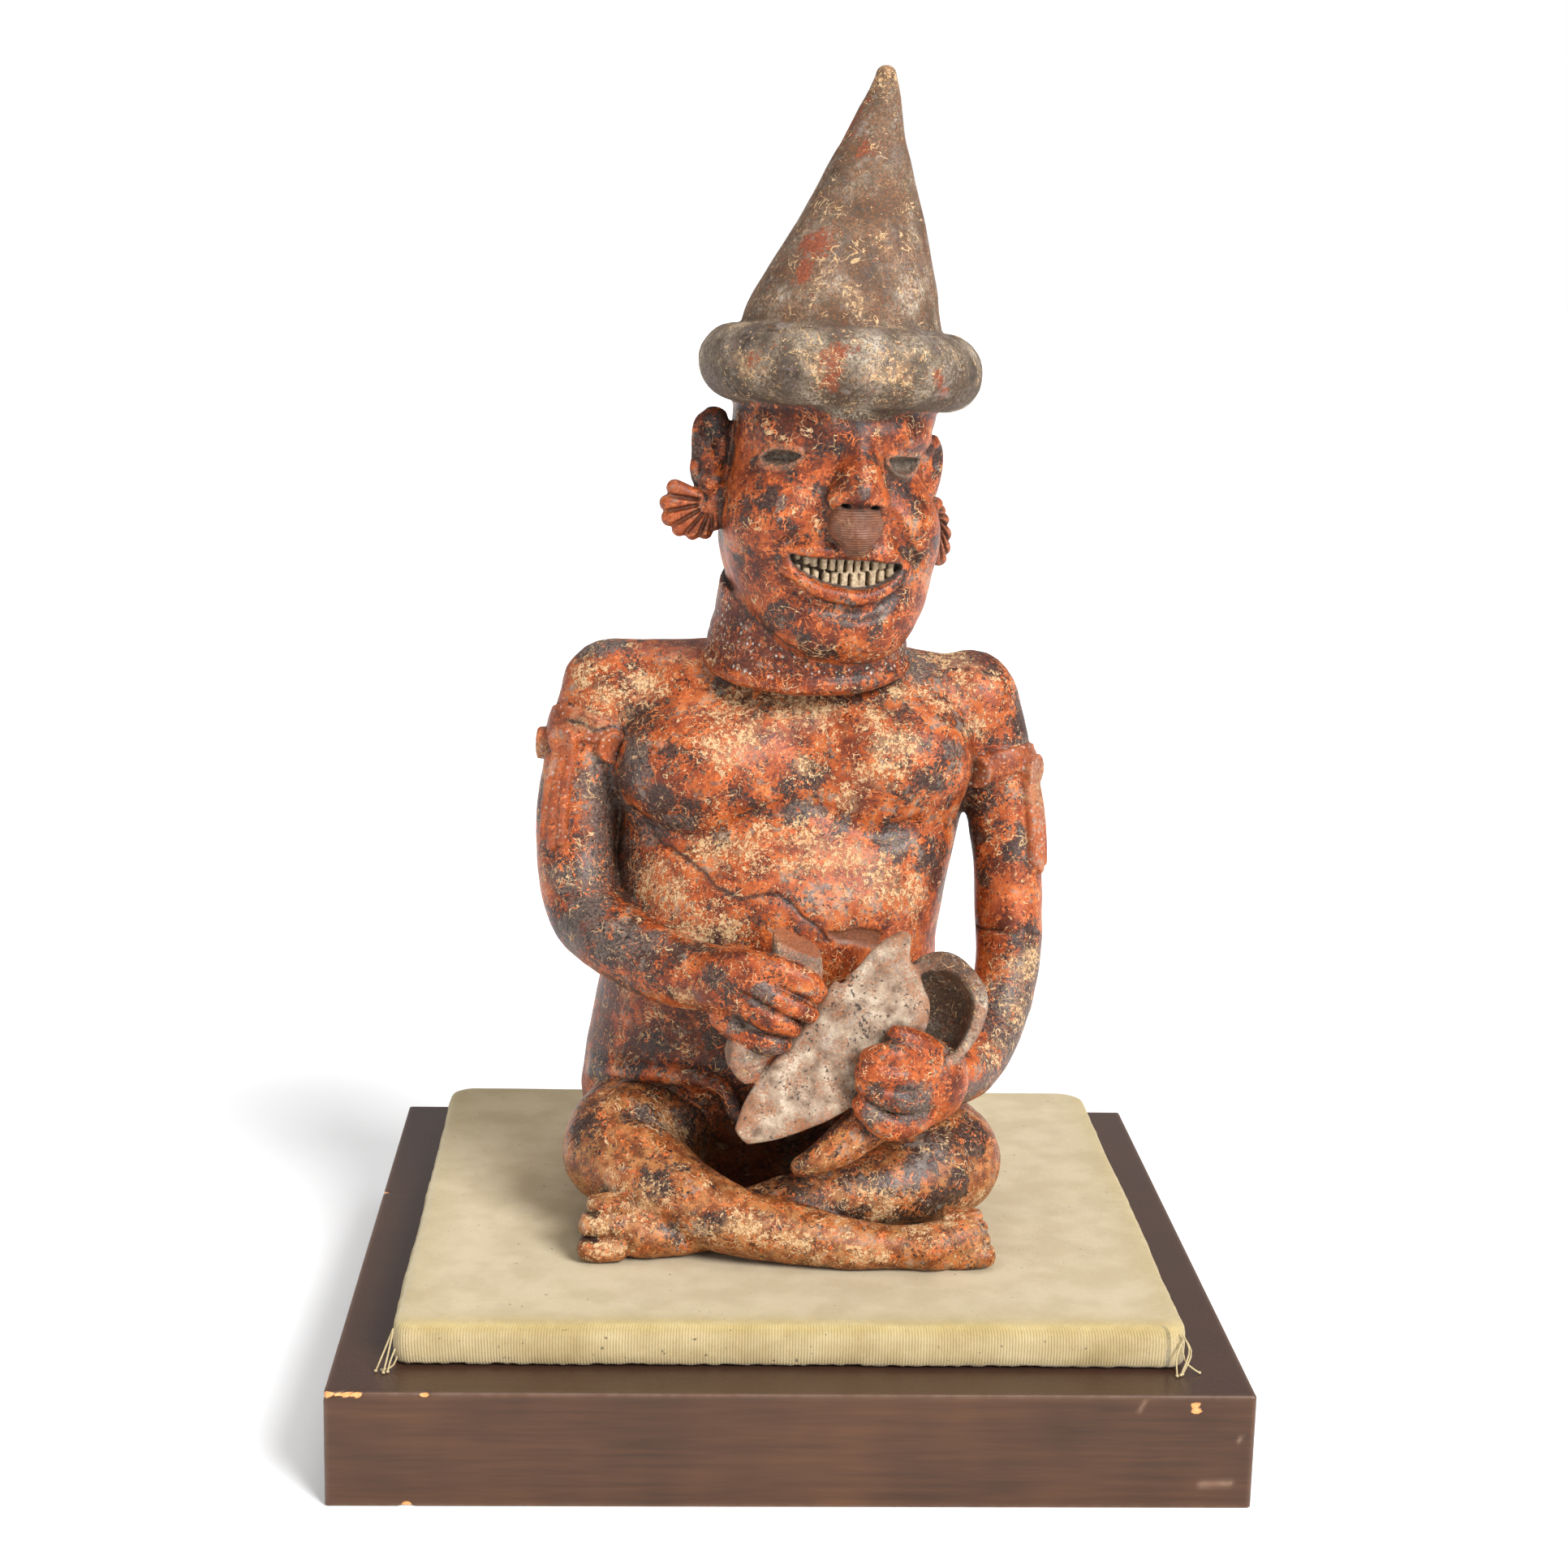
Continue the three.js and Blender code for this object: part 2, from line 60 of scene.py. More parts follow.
def spread(keys, count):
    """Key rows of numbers, spread to count rows along a smooth curve through the keys."""
    keys = np.array(keys, float)
    last = len(keys) - 1
    at = np.linspace(0, last, count)
    k = np.minimum(at.astype(int), last - 1)
    t = (at - k)[:, None]
    a, b, c, d = (keys[np.clip(k + n, 0, last)] for n in (-1, 0, 1, 2))
    return (
        b
        + 0.5 * t * (c - a)
        + 0.5 * t**2 * (2 * a - 5 * b + 4 * c - d)
        + 0.5 * t**3 * (3 * b - a - 3 * c + d)
    )


def loft(rings):
    """Points and triangles of a closed skin over rings with equally many points."""
    rings = np.array(rings, float)
    count, sides = rings.shape[:2]
    middles = np.array([rings[0].mean(0), rings[-1].mean(0)])
    points = np.concatenate([rings.reshape(-1, 3), middles])
    r, s = np.meshgrid(np.arange(count - 1), np.arange(sides), indexing="ij")
    a = (r * sides + s).ravel()
    b = (r * sides + (s + 1) % sides).ravel()
    walls = [np.stack([a, b, b + sides], 1), np.stack([a, b + sides, a + sides], 1)]
    s = np.arange(sides)
    nxt = (s + 1) % sides
    top = (count - 1) * sides
    foot = np.stack([nxt, s, np.full(sides, len(points) - 2)], 1)
    crown = np.stack([top + s, top + nxt, np.full(sides, len(points) - 1)], 1)
    return points, np.concatenate([*walls, foot, crown])


def circle(sides, squareness=2.0):
    turn = 2 * np.pi * (np.arange(sides) + 0.5) / sides
    bulge = lambda v: np.sign(v) * np.abs(v) ** (2 / squareness)
    return bulge(np.cos(turn)), bulge(np.sin(turn))


def limb(keys, up=(0, 0, 1), round_end=1.0, squareness=2.0, sides=20):
    """A limb along keys of (x, y, z, half-width, half-height), with rounded ends."""
    keys = [(*k, k[3]) if len(k) < 5 else k for k in keys]
    length = sum(math.dist(a[:3], b[:3]) for a, b in zip(keys, keys[1:]))
    count = max(6, min(60, int(length / 2.5)))
    rows = spread(keys, count)
    centre, width, height = rows[:, :3], rows[:, 3:4], rows[:, 4:5]
    ahead = centre[np.minimum(np.arange(count) + 1, count - 1)] - centre[np.maximum(np.arange(count) - 1, 0)]
    ahead /= np.linalg.norm(ahead, axis=1, keepdims=True)
    across = np.cross(np.array(up, float), ahead)
    across /= np.linalg.norm(across, axis=1, keepdims=True)
    over = np.cross(ahead, across)
    c, s = circle(sides, squareness)

    def loop(i, share, way):
        reach = min(width[i, 0], height[i, 0]) * round_end * math.sqrt(1 - share * share) * way
        return (
            centre[i]
            + ahead[i] * reach
            + share * (c[:, None] * across[i] * width[i] + s[:, None] * over[i] * height[i])
        )

    shares = (0.25, 0.5, 0.72, 0.88, 0.97)
    rings = [loop(i, 1, 0) for i in range(count)]
    if round_end > 0:
        rings = [loop(0, q, -1) for q in shares] + rings + [loop(count - 1, q, 1) for q in reversed(shares)]
    return loft(rings)


def stack(keys, squareness=2.3, sides=64):
    """A body of level rings. Its keys are height, middle x and y, half-width, front reach and back reach."""
    tall = abs(keys[-1][0] - keys[0][0])
    rows = spread(keys, max(16, int(tall / 2.5)))
    c, s = circle(sides, squareness)
    rings = [
        np.stack([x + w * c, y + np.where(s > 0, s * back, s * front), np.full(sides, z)], 1)
        for z, x, y, w, front, back in rows
    ]
    return loft(rings)


def blob(centre, half):
    """An ellipsoid with its half-axes along x, y and z."""
    sides = int(max(16, min(64, max(half) * 2)))
    tilt = np.linspace(0, np.pi, sides // 2 + 2)[1:-1]
    c, s = circle(sides)
    level = np.ones(sides)
    rings = [np.stack([c * math.sin(t), s * math.sin(t), -math.cos(t) * level], 1) * half for t in tilt]
    points, faces = loft(rings)
    return points + np.array(centre, float), faces


def block(centre, half):
    """An upright block with rounded edges."""
    x, y, z = centre
    keys = [(x, y, z - half[2], half[0], half[1]), (x, y, z + half[2], half[0], half[1])]
    return limb(keys, up=(0, 1, 0), round_end=0.3, squareness=5)


def torus(ring, wide, tall, sides=96, around=32):
    """A level ring whose section is so wide and so tall to each side."""
    turn, section = np.meshgrid(
        2 * np.pi * np.arange(sides) / sides, 2 * np.pi * np.arange(around) / around, indexing="ij"
    )
    out = ring + wide * np.cos(section)
    points = np.stack([out * np.cos(turn), out * np.sin(turn), tall * np.sin(section)], 2).reshape(-1, 3)
    i, j = (v.ravel() for v in np.meshgrid(np.arange(sides), np.arange(around), indexing="ij"))
    i_next, j_next = (i + 1) % sides, (j + 1) % around
    a, b, c, d = i * around + j, i_next * around + j, i_next * around + j_next, i * around + j_next
    return points, np.concatenate([np.stack([a, b, c], 1), np.stack([a, c, d], 1)])


def joined(forms):
    """Several forms as one set of points and triangles."""
    starts = np.cumsum([0] + [len(points) for points, _ in forms])
    faces = [faces + start for (_, faces), start in zip(forms, starts)]
    return np.concatenate([points for points, _ in forms]), np.concatenate(faces)


def placed(matrix, forms):
    m = np.array(matrix)
    return [(points @ m[:3, :3].T + m[:3, 3], faces) for points, faces in forms]


def turned(x=0, y=0, z=0):
    """Turns by degrees about x, then y, then z."""
    about_x, about_y, about_z = (
        Matrix.Rotation(radians(turn), 4, axis) for turn, axis in ((x, "X"), (y, "Y"), (z, "Z"))
    )
    return about_z @ about_y @ about_x


# Clay in a field of distances


class Clay:
    """Clay as distances to its skin on a grid, so that forms can be smoothed into each other."""

    def __init__(self, low, high):
        self.low = np.floor(np.array(low) / VOXEL).astype(int)
        size = np.ceil(np.array(high) / VOXEL).astype(int) - self.low + 1
        self.field = np.full(size, REACH, np.float32)
        self.ware = np.zeros(size, np.uint8)

    def window(self, form):
        points, faces = form
        low = np.floor((points.min(0) - REACH) / VOXEL).astype(int)
        high = np.ceil((points.max(0) + REACH) / VOXEL).astype(int)
        low = np.maximum(low, self.low)
        high = np.minimum(high, self.low + np.array(self.field.shape) - 1)
        grid = openvdb.FloatGrid.createLevelSetFromPolygons(
            points.astype(np.float64),
            triangles=faces.astype(np.uint32),
            transform=openvdb.createLinearTransform(VOXEL),
            halfWidth=REACH / VOXEL,
        )
        near = np.empty(high - low + 1, np.float32)
        grid.copyToArray(near, ijk=tuple(int(v) for v in low))
        start = low - self.low
        where = tuple(slice(a, a + n) for a, n in zip(start, near.shape))
        return where, near

    def add(self, forms, smooth=1.0, ware=0):
        for form in forms:
            where, near = self.window(form)
            had = self.field[where]
            closer = near < had
            self.ware[where][closer] = ware
            mix = np.where(near < REACH - 0.5, np.maximum(smooth - np.abs(had - near), 0) / smooth, 0)
            self.field[where] = np.minimum(had, near) - mix * mix * smooth * 0.25

    def cut(self, forms, smooth=1.0, ware=None):
        for form in forms:
            where, near = self.window(form)
            near = -near
            had = self.field[where]
            if ware is not None:
                self.ware[where][(near > had) & (near > -2)] = ware
            mix = np.maximum(smooth - np.abs(had - near), 0) / smooth
            self.field[where] = np.maximum(had, near) + mix * mix * smooth * 0.25

    def join(self, other, smooth=1.0):
        closer = other.field < self.field
        self.ware[closer] = other.ware[closer]
        mix = np.maximum(smooth - np.abs(self.field - other.field), 0) / smooth
        self.field = np.minimum(self.field, other.field) - mix * mix * smooth * 0.25

    def patch(self, other, smooth=1.0):
        """Joins clay that was modelled on a smaller grid inside this one."""
        part = Clay.__new__(Clay)
        where = tuple(slice(a, a + n) for a, n in zip(other.low - self.low, other.field.shape))
        part.field, part.ware = self.field[where], self.ware[where]
        part.join(other, smooth)
        self.field[where], self.ware[where] = part.field, part.ware

    def front(self, x, z):
        """The y at which a look from the front first meets the skin at x and z, or comes nearest to it."""
        y = (np.arange(self.field.shape[1]) + self.low[1]) * VOXEL
        depth = self.at(np.stack([np.full(len(y), x), y, np.full(len(y), z)], 1))
        if depth.min() >= 0:
            return y[int(np.argmin(depth))]
        i = int(np.argmax(depth < 0))
        return y[i - 1] + VOXEL * depth[i - 1] / (depth[i - 1] - depth[i])

    def at(self, points, field=None):
        """The field's values at points, blended between the eight grid points round each."""
        field = self.field if field is None else field
        p = points / VOXEL - self.low
        size = np.array(field.shape)
        base = np.clip(np.floor(p).astype(int), 0, size - 2)
        t = np.clip(p - base, 0, 1)
        total = np.zeros(len(points), np.float32)
        for corner in np.ndindex(2, 2, 2):
            share = np.prod(np.where(corner, t, 1 - t), axis=1)
            i, j, k = (base + corner).T
            total += share * field[i, j, k]
        return total

    def skin(self):
        near = 3 * VOXEL
        grid = openvdb.FloatGrid(near)
        grid.transform = openvdb.createLinearTransform(VOXEL)
        low = tuple(int(v) for v in self.low)
        grid.copyFromArray(np.clip(self.field, -near, near), ijk=low, tolerance=1e-5)
        return grid.convertToPolygons(isovalue=0.0, adaptivity=0.0)


# The figure's forms

WARES = range(15)
(
    SKIN, HAT, CHOKER, TRIM, BOWL, BEATER, TEETH, HOLLOW, LEG, PLATE, CRACK, BARE, NOSE_PLATE, LID, EYE
) = WARES

HEAD = Matrix.Translation((17, -8, 385)) @ turned(z=9) @ turned(y=3.5)
COLLAR = Matrix.Translation((8.5, 2, 312)) @ turned(x=11.5)
COLLAR_RADIUS = 54
RIGHT_ARM = (
    (-96, 24, 282, 28), (-106, 17, 262, 25), (-112.5, 9, 240, 22.5), (-116, 3, 214, 22), (-116, -3, 190, 21),
    (-109, -18, 167, 21), (-88, -42, 156, 20.5), (-62, -65, 149, 19.5), (-36, -87, 150, 17),
)
LEFT_ARM = (
    (101, 24, 281, 27), (112, 19, 258, 22.5), (119, 13, 228, 20.3), (122.5, 7, 200, 19.3),
    (124.5, 1, 172, 18.6), (124.5, -6, 146, 18), (119.5, -20, 119, 17), (108, -40, 101, 17),
    (93, -62, 93, 17), (78, -84, 97, 16),
)


def drum_frame():
    along = Vector((0.641, 0.177, 0.747)).normalized()
    inward = Vector((0.04, 0.96, -0.26))
    inward = (inward - inward.dot(along) * along).normalized()
    across = inward.cross(along)
    m = Matrix((along, across, inward)).transposed().to_4x4()
    m.translation = (17, -101, 126)
    return m


DRUM = drum_frame()


def trunk(clay):
    body = stack([
        (0, -8, 22, 84, 40, 62), (14, -9, 22, 98, 48, 72), (40, -10, 20, 102, 52, 76),
        (62, -10, 18, 102, 58, 76), (84, -10, 17, 100, 67, 75), (118, -9, 16, 95, 73, 72),
        (150, -7, 16, 92, 79, 68), (178, -3, 17, 92, 79, 66), (200, 0, 18, 94, 71, 64),
        (220, 2, 19, 95.5, 63, 62), (245, 4, 21, 98, 61, 58), (270, 5, 22, 97, 56, 54),
        (292, 6, 22, 78, 46, 46), (306, 7, 20, 54, 38, 40),
    ])
    girdle = limb([
        (-97, 24, 284, 28, 27), (-40, 24, 287, 32, 26), (50, 24, 284, 32, 26), (100, 24, 280, 26, 26),
    ], sides=32)
    clay.add([body])
    clay.add([girdle], 12)
    chest = [blob((-44, -10, 248), (51, 38, 37)), blob((54, -8, 253), (47, 37, 35))]
    clay.add(chest, 12)
    fold = [
        (-84, 221), (-70, 215), (-52, 212), (-36, 216), (-20, 226), (2, 234), (14, 233), (28, 225), (48, 219),
        (66, 221),
    ]
    clay.cut([limb([(x, clay.front(x, z) - 2.4, z, 4.8) for x, z in fold])], 6)
    hem = limb([
        (-8, 93, 57, 4.5), (-75, 74, 58, 4.5), (-105, 22, 60, 4), (-98, -14, 76, 4.2), (-83, -36, 83, 4.5),
        (-58, -48.5, 85, 4.5), (-34, -55, 80, 4.5), (-23, -55, 61, 4.5), (4, -52, 61, 4.5),
        (17, -55, 80, 4.5), (44, -48.5, 85, 4.5), (65, -36, 84, 4.5), (82, -15, 78, 4.5), (90, 22, 62, 4.5),
        (57, 74, 58, 4.5), (-9, 93, 57, 4.5),
    ])
    clay.add([hem], 10)


def choker(clay):
    collar = stack([
        (-9, 0, 0, 54, 46, 44), (-6, 0, 0, 57, 50, 47), (-1.5, 0, 0, 57, 50, 47), (0, 0, 0, 54.5, 48, 45),
        (2.5, 0, 0, 53.6, 46.9, 44.9), (5, 0, 0, 54.4, 47.8, 46), (9, 0, 0, 53.8, 47, 46),
        (11, 0, 0, 52.8, 45.9, 45.4), (13.5, 0, 0, 52.8, 45.8, 46), (22, 0, 0, 50, 43, 45),
        (40, 0, 0, 48, 38, 45),
    ], squareness=2.1)
    clay.add(placed(COLLAR, [collar]), 2, CHOKER)


# Each eye as keys of (x, y, z, depth, half-height)
EYES = (
    ((-44.5, -36, 31.8, 4, 1), (-40.5, -40, 33.4, 6, 3.3), (-34.5, -44, 33.8, 6, 3.7),
     (-29.5, -46.5, 35, 5, 2.2), (-27, -47.5, 35.5, 3, 0.9)),
    ((20.5, -47, 36.6, 3, 1), (25, -45.5, 34.3, 5.5, 3.7), (31, -42, 33.6, 6, 4.3), (36, -36.5, 34.6, 5, 3),
     (39, -33, 36, 3, 1)),
)


def head(clay):
    skull = stack([
        (-72, 6, -22, 16, 14, 12), (-66, 5, -16, 32, 30, 26), (-53, 4, -8, 45, 42, 38),
        (-36, 2.5, -3, 53, 49, 46), (-14, 0.5, 0, 57, 53, 52), (10, -2.5, 0, 54, 51, 54),
        (34, -3.7, 0, 50.5, 48, 54), (58, -0.5, 0, 53.5, 50, 54), (84, 0, 0, 53, 52, 52),
    ], squareness=2.4)
    face = Clay((-75, -95, 290), (110, 75, 480))
    build = lambda forms, smooth, ware=SKIN: face.add(placed(HEAD, forms), smooth, ware)
    carve = lambda forms, smooth, ware=None: face.cut(placed(HEAD, forms), smooth, ware)
    cheeks = [blob((-33, -22, 0), (24, 28, 25)), blob((31, -22, -2), (24, 27, 25))]
    chin = blob((6, -27, -52), (32, 26, 17))
    brow = [
        (-42, -33, 47, 5), (-20, -43.5, 47, 5), (3, -46, 48, 5), (26, -42.5, 48, 5), (40, -28, 47, 5),
    ]
    build([skull], 1)
    build([*cheeks, chin], 12)
    build([limb(brow)], 9)
    nose(build, carve)
    mouth(build, carve)
    teeth(build)
    for eye in EYES:
        for way in (1, -1):
            lid = [(x, y + 1.2, z + way * (high + 0.8), 1.9) for x, y, z, _, high in eye]
            build([limb(lid)], 2.5, LID)
        carve([limb(eye, round_end=0.5)], 1, EYE)
    clay.patch(face, 1.5)


def nose(build, carve):
    bridge = [
        (3, -43, 54, 4, 4), (3.2, -46, 45, 6, 7), (3.7, -49, 34, 9.5, 10), (4.2, -52, 24, 12.5, 13),
        (4.3, -53, 17, 13.5, 12),
    ]
    build([limb(bridge, up=(0, -1, 0), round_end=0.6)], 6)
    build([blob((4.3, -63, 19.5), (7, 6, 6.5))], 4)
    build([blob((-6, -55, 16), (5, 6, 5)), blob((14.5, -54.5, 16), (5, 6, 5))], 6)
    shield = [
        (3.5, -53, 8, 12.5, 10), (3.5, -54, 3, 14.8, 13), (3.9, -54, -3, 12.8, 13), (4.5, -53, -8, 7.5, 9.5),
    ]
    build([limb(shield, up=(0, -1, 0), round_end=0.7)], 0.5, NOSE_PLATE)
    carve([blob((-3.6, -61, 12.6), (3.2, 7, 1.5)), blob((12, -60.5, 12.6), (3.2, 7, 1.5))], 0.8, HOLLOW)
    for fold in (
        [(-15, -54, 6, 3), (-20, -53.5, -2, 3.5), (-27, -51.5, -8.5, 3.2), (-33, -48, -13, 2.2)],
        [(23, -52.5, 6, 3), (28.5, -51.5, -3, 3.5), (34, -48.3, -10, 3.2), (38, -44.5, -16, 2.2)],
    ):
        carve([limb(fold)], 6)


# The mouth's edges and the line where its teeth meet, as (x, z)
MOUTH_TOP = ((-29.5, -14.8), (-19.4, -16.1), (-9.8, -16.3), (8.3, -16.1), (20.8, -16.8), (31.5, -18))
MOUTH_FOOT = ((-24.5, -21.5), (-15.1, -26.3), (-6, -29.2), (9.6, -30.5), (23.7, -26.2))
BITE = ((-28, -17.5), (-20.7, -20.7), (-9.2, -23.3), (4.4, -23.4), (18.3, -21.4), (29, -19.5))


def mouth(build, carve):
    lower = [
        (-32, -46, -15.5, 2.6), (-29, -48, -22, 4.2), (-22, -50.5, -28.5, 4.8), (-12.7, -52.5, -33, 5),
        (-3, -53.6, -35, 5.2), (10.1, -53, -35.6, 5.2), (24.1, -50, -30.6, 4.8), (31, -46.5, -24, 4.2),
        (34.5, -43.8, -17.5, 2.6),
    ]
    upper = [
        (-31.5, -46.5, -13, 2.6), (-20, -51, -12.8, 3), (-9, -53, -12.9, 3.2), (8, -53, -12.7, 3.2),
        (21, -50.5, -13.4, 3), (34, -44, -15.5, 2.6),
    ]
    build([limb(lower)], 3.5)
    build([limb(upper)], 4)
    crease = [
        (-27, -50, -32, 2), (-12, -53.5, -41, 3), (7, -54, -43.5, 3), (20, -52, -40.5, 3), (30, -48, -32, 2),
    ]
    carve([limb(crease)], 6)
    outline = np.array(MOUTH_TOP + MOUTH_FOOT[::-1])
    outline = spread(np.concatenate([outline, outline[:1]]), 80)[:-1]
    flat = lambda y: np.stack([outline[:, 0], np.full(len(outline), float(y)), outline[:, 1]], 1)
    carve([loft([flat(-42.5), flat(-75)])], 0.8, HOLLOW)


def teeth(build):
    """Two uneven rows of teeth that meet along the bite."""
    left, span, between = -26, 55, 1.3
    top, bite = np.array(MOUTH_TOP).T, np.array(BITE).T
    foot = np.array((MOUTH_TOP[0], *MOUTH_FOOT, MOUTH_TOP[-1])).T
    for row, count in ((0, 12), (1, 11)):
        for i in range(count):
            x = left + (i + 0.5) * span / count + 0.25 * math.sin(2.3 * i + row)
            gap = np.interp(x, *bite)
            part = 0.4 + 0.9 * min(1, max(0, -x / 20))
            if row == 0:
                high, low = np.interp(x, *top) + 1, gap + part
            else:
                high, low = gap - part, np.interp(x, *foot) - 1
            if high - low < 2:
                continue
            low += 0.3 * math.sin(5.1 * i)
            front = -49.6 + 3.6 * ((x - 1) / 27) ** 2 + 0.4 * math.sin(3.7 * i)
            half = ((span / count - between) / 2, 4, (high - low) / 2)
            build([block((x, front + 4, (high + low) / 2), half)], 0.4, TEETH)


# Each ear: the way out of the head (x, y), its leaf's keys and the leaf's hollows (middle, half-axes)
EAR_LEAVES = (
    ((1, 0.1),
     ((-63.5, 3, 51, 6.5, 3.6), (-64.3, 3, 46, 11, 4.4), (-64.6, 3, 38, 12, 4.8), (-65, 3, 29, 11, 4.8),
      (-65.5, 3, 20, 10.5, 4.8), (-64, 2.5, 12, 8, 4.8)),
     (((-68, -3, 42), (5.2, 4, 7)), ((-61.5, -3, 33), (3.6, 3.6, 7)), ((-68.5, -3, 23), (4.2, 3.4, 6.5)))),
    ((0.62, 0.78),
     ((51, -11, 44, 6, 3.4), (52.5, -9, 38, 9.5, 4.2), (52.5, -9, 28, 9.5, 4.6), (51.5, -10, 18, 8, 4.6)),
     (((55.5, -12, 35), (4, 4, 7)),)),
)
# Each fan: its root, the way it spreads (x, y) and its lobes (degrees below level, reach, thickness)
EAR_FANS = (
    ((-63, -2, 5), (-1, 0.08),
     ((-16, 26, 5), (6, 28.5, 4.8), (25, 29, 4.8), (44, 27, 4.6), (62, 24, 4.4), (81, 21, 4.4),
      (100, 16, 4))),
    ((53, -9, 6), (0.7, 0.71),
     ((-37, 13, 4.5), (-8, 15, 4.5), (14, 20, 4.6), (31, 27, 4.8), (44, 32, 4.8), (56, 34, 4.8),
      (68, 29, 4.4))),
)


def ears(clay):
    for (ax, ay), leaf, hollows in EAR_LEAVES:
        clay.add(placed(HEAD, [limb(leaf, up=(-ay, ax, 0))]), 3)
        clay.cut(placed(HEAD, [blob(*hollow) for hollow in hollows]), 2)
    for (x, y, z), (ax, ay), lobes in EAR_FANS:
        front = math.copysign(4.6, ax)

        def spot(turn, far, proud=0):
            """A point of the fan, so many degrees below level, so far out and so far proud of its middle."""
            out, down = far * math.cos(radians(turn)), far * math.sin(radians(turn))
            return x + ax * out + ay * proud, y + ay * out - ax * proud, z - down

        for turn, reach, fat in lobes:
            lobe = [(*spot(turn, 1), fat * 0.6, 4.4), (*spot(turn, reach * 0.5), fat * 0.82, 5.4),
                    (*spot(turn, reach - fat), fat * 0.96, 5)]
            clay.add(placed(HEAD, [limb(lobe, up=(-ay, ax, 0))]), 0.5, TRIM)
        for (turn, reach, _), (next_turn, *_) in zip(lobes, lobes[1:]):
            middle = (turn + next_turn) / 2
            groove = [(*spot(middle, reach * share, front), 1.1, 2.4) for share in (0.3, 0.6, 0.9)]
            clay.cut(placed(HEAD, [limb(groove, up=(-ay, ax, 0))]), 0.6)
        clay.add(placed(HEAD, [blob((x, y, z), (5, 5.5, 5))]), 2, TRIM)
        clay.add(placed(HEAD, [blob((x - 5 * ax, y - 5 * ay + 1, z - 1), (8, 6, 11))]), 3)


def hat(clay):
    cone = limb([
        (22, -7, 460, 55), (24, -6, 485, 53.5), (28, -5, 508, 45.5), (32, -3, 533, 36), (35.5, -1, 558, 26.5),
        (39, 2, 583, 16.5), (42.3, 4, 604, 9.5), (43.3, 5, 615.5, 5.5),
    ], up=(0, 1, 0), sides=64)
    tilt = Matrix.Translation((22.7, -6, 464.5)) @ turned(y=2.2) @ turned(x=-4)
    clay.add([cone], 1, HAT)
    clay.add(placed(tilt, [torus(56, 19.5, 20.3)]), 3, HAT)


def right_arm(clay):
    clay.add([limb(RIGHT_ARM, up=(-1, 0, 0.3), sides=32)], 6)
    hand = Clay((-75, -140, 80), (40, -50, 200))
    beater = Clay((-75, -140, 80), (40, -50, 200))
    beater.add([limb([
        (-1, -98, 184, 9, 7.5), (0, -98.5, 172, 11.5, 8.5), (3, -99, 160, 13, 9), (-5, -101, 140, 13, 9),
        (-21.5, -103, 118, 12, 9), (-22, -104, 109, 10, 8), (-20.5, -104.5, 101, 4.5, 5),
    ], up=(0, 1, 0), round_end=0.3, squareness=3.2)], 1, BEATER)
    broken = Matrix.Translation((3, -101, 193.5)) @ turned(y=25) @ turned(x=16)
    beater.cut(placed(broken, [block((0, 0, 0), (40, 30, 9))]), 1, BARE)
    hand.add([blob((-27, -95, 148), (20, 16, 21))], 1)
    for keys in (
        [(-38, -97, 159, 9, 8.5), (-24, -103, 161.5, 10, 8.6), (-4.6, -106, 160, 9.5, 8.4),
         (6, -106, 155, 9, 7.8), (12, -105, 149.5, 8, 6.4)],
        [(-36, -99, 155, 9, 6.5), (-20, -106, 154.2, 10, 5.8), (-5, -108, 146.3, 9.5, 6),
         (5, -107, 141, 9, 5.4), (9, -106, 138.5, 8, 4.8)],
        [(-40, -97, 146, 9, 8), (-29, -103, 145.5, 10, 8.4), (-13, -107.5, 137, 9.5, 7),
         (-5, -107, 133.5, 9, 5.8), (0, -106, 130.8, 8, 4.6)],
        [(-36, -97, 133, 8, 5.5), (-28, -102, 128.5, 9, 6), (-16, -106, 123.2, 9, 6.8),
         (-9, -106, 122, 8.5, 5.8), (-5, -105, 122, 7.5, 4.8)],
    ):
        hand.add([limb(keys, squareness=2.5)], 2.2)
    hand.join(beater, 0.5)
    clay.patch(hand, 6)


def left_arm(clay):
    clay.add([limb(LEFT_ARM, up=(1, 0, 0.3), sides=32)], 6)
    hand = Clay((20, -145, 55), (120, -50, 150))
    hand.add([blob((68, -99, 99), (26, 19, 24)), blob((58, -103, 98), (22, 16, 22))], 6)
    thumb = [
        (84, -92, 108, 9.5), (76, -102, 115, 8.5), (67, -109, 122, 7.6), (58, -112, 127.5, 6),
        (54, -112.5, 129, 5),
    ]
    hand.add([limb(thumb)], 1.5)
    for keys in (
        [(70, -106, 114, 9, 7.5), (56, -116, 119, 8, 6.6), (46, -118.5, 119.5, 7.5, 6),
         (40, -118, 118, 7, 5.2)],
        [(76, -103, 105, 9, 8), (60, -118, 107.5, 8, 7.4), (46, -121.5, 110, 7.5, 6.4),
         (37.5, -120, 111, 7, 5.4)],
        [(78, -103, 96, 8, 7), (60, -118.5, 95.5, 8, 6.8), (46, -121.5, 100, 7.5, 6),
         (38, -119, 104, 7, 5.2)],
        [(76, -101, 87, 8, 8), (62, -116, 83, 8, 7.8), (50, -121, 83, 8, 7.4), (41, -120.5, 89, 7.5, 6.2),
         (37, -119, 94, 7, 5)],
    ):
        hand.add([limb(keys, squareness=2.4)], 2.4)
    clay.patch(hand, 6)


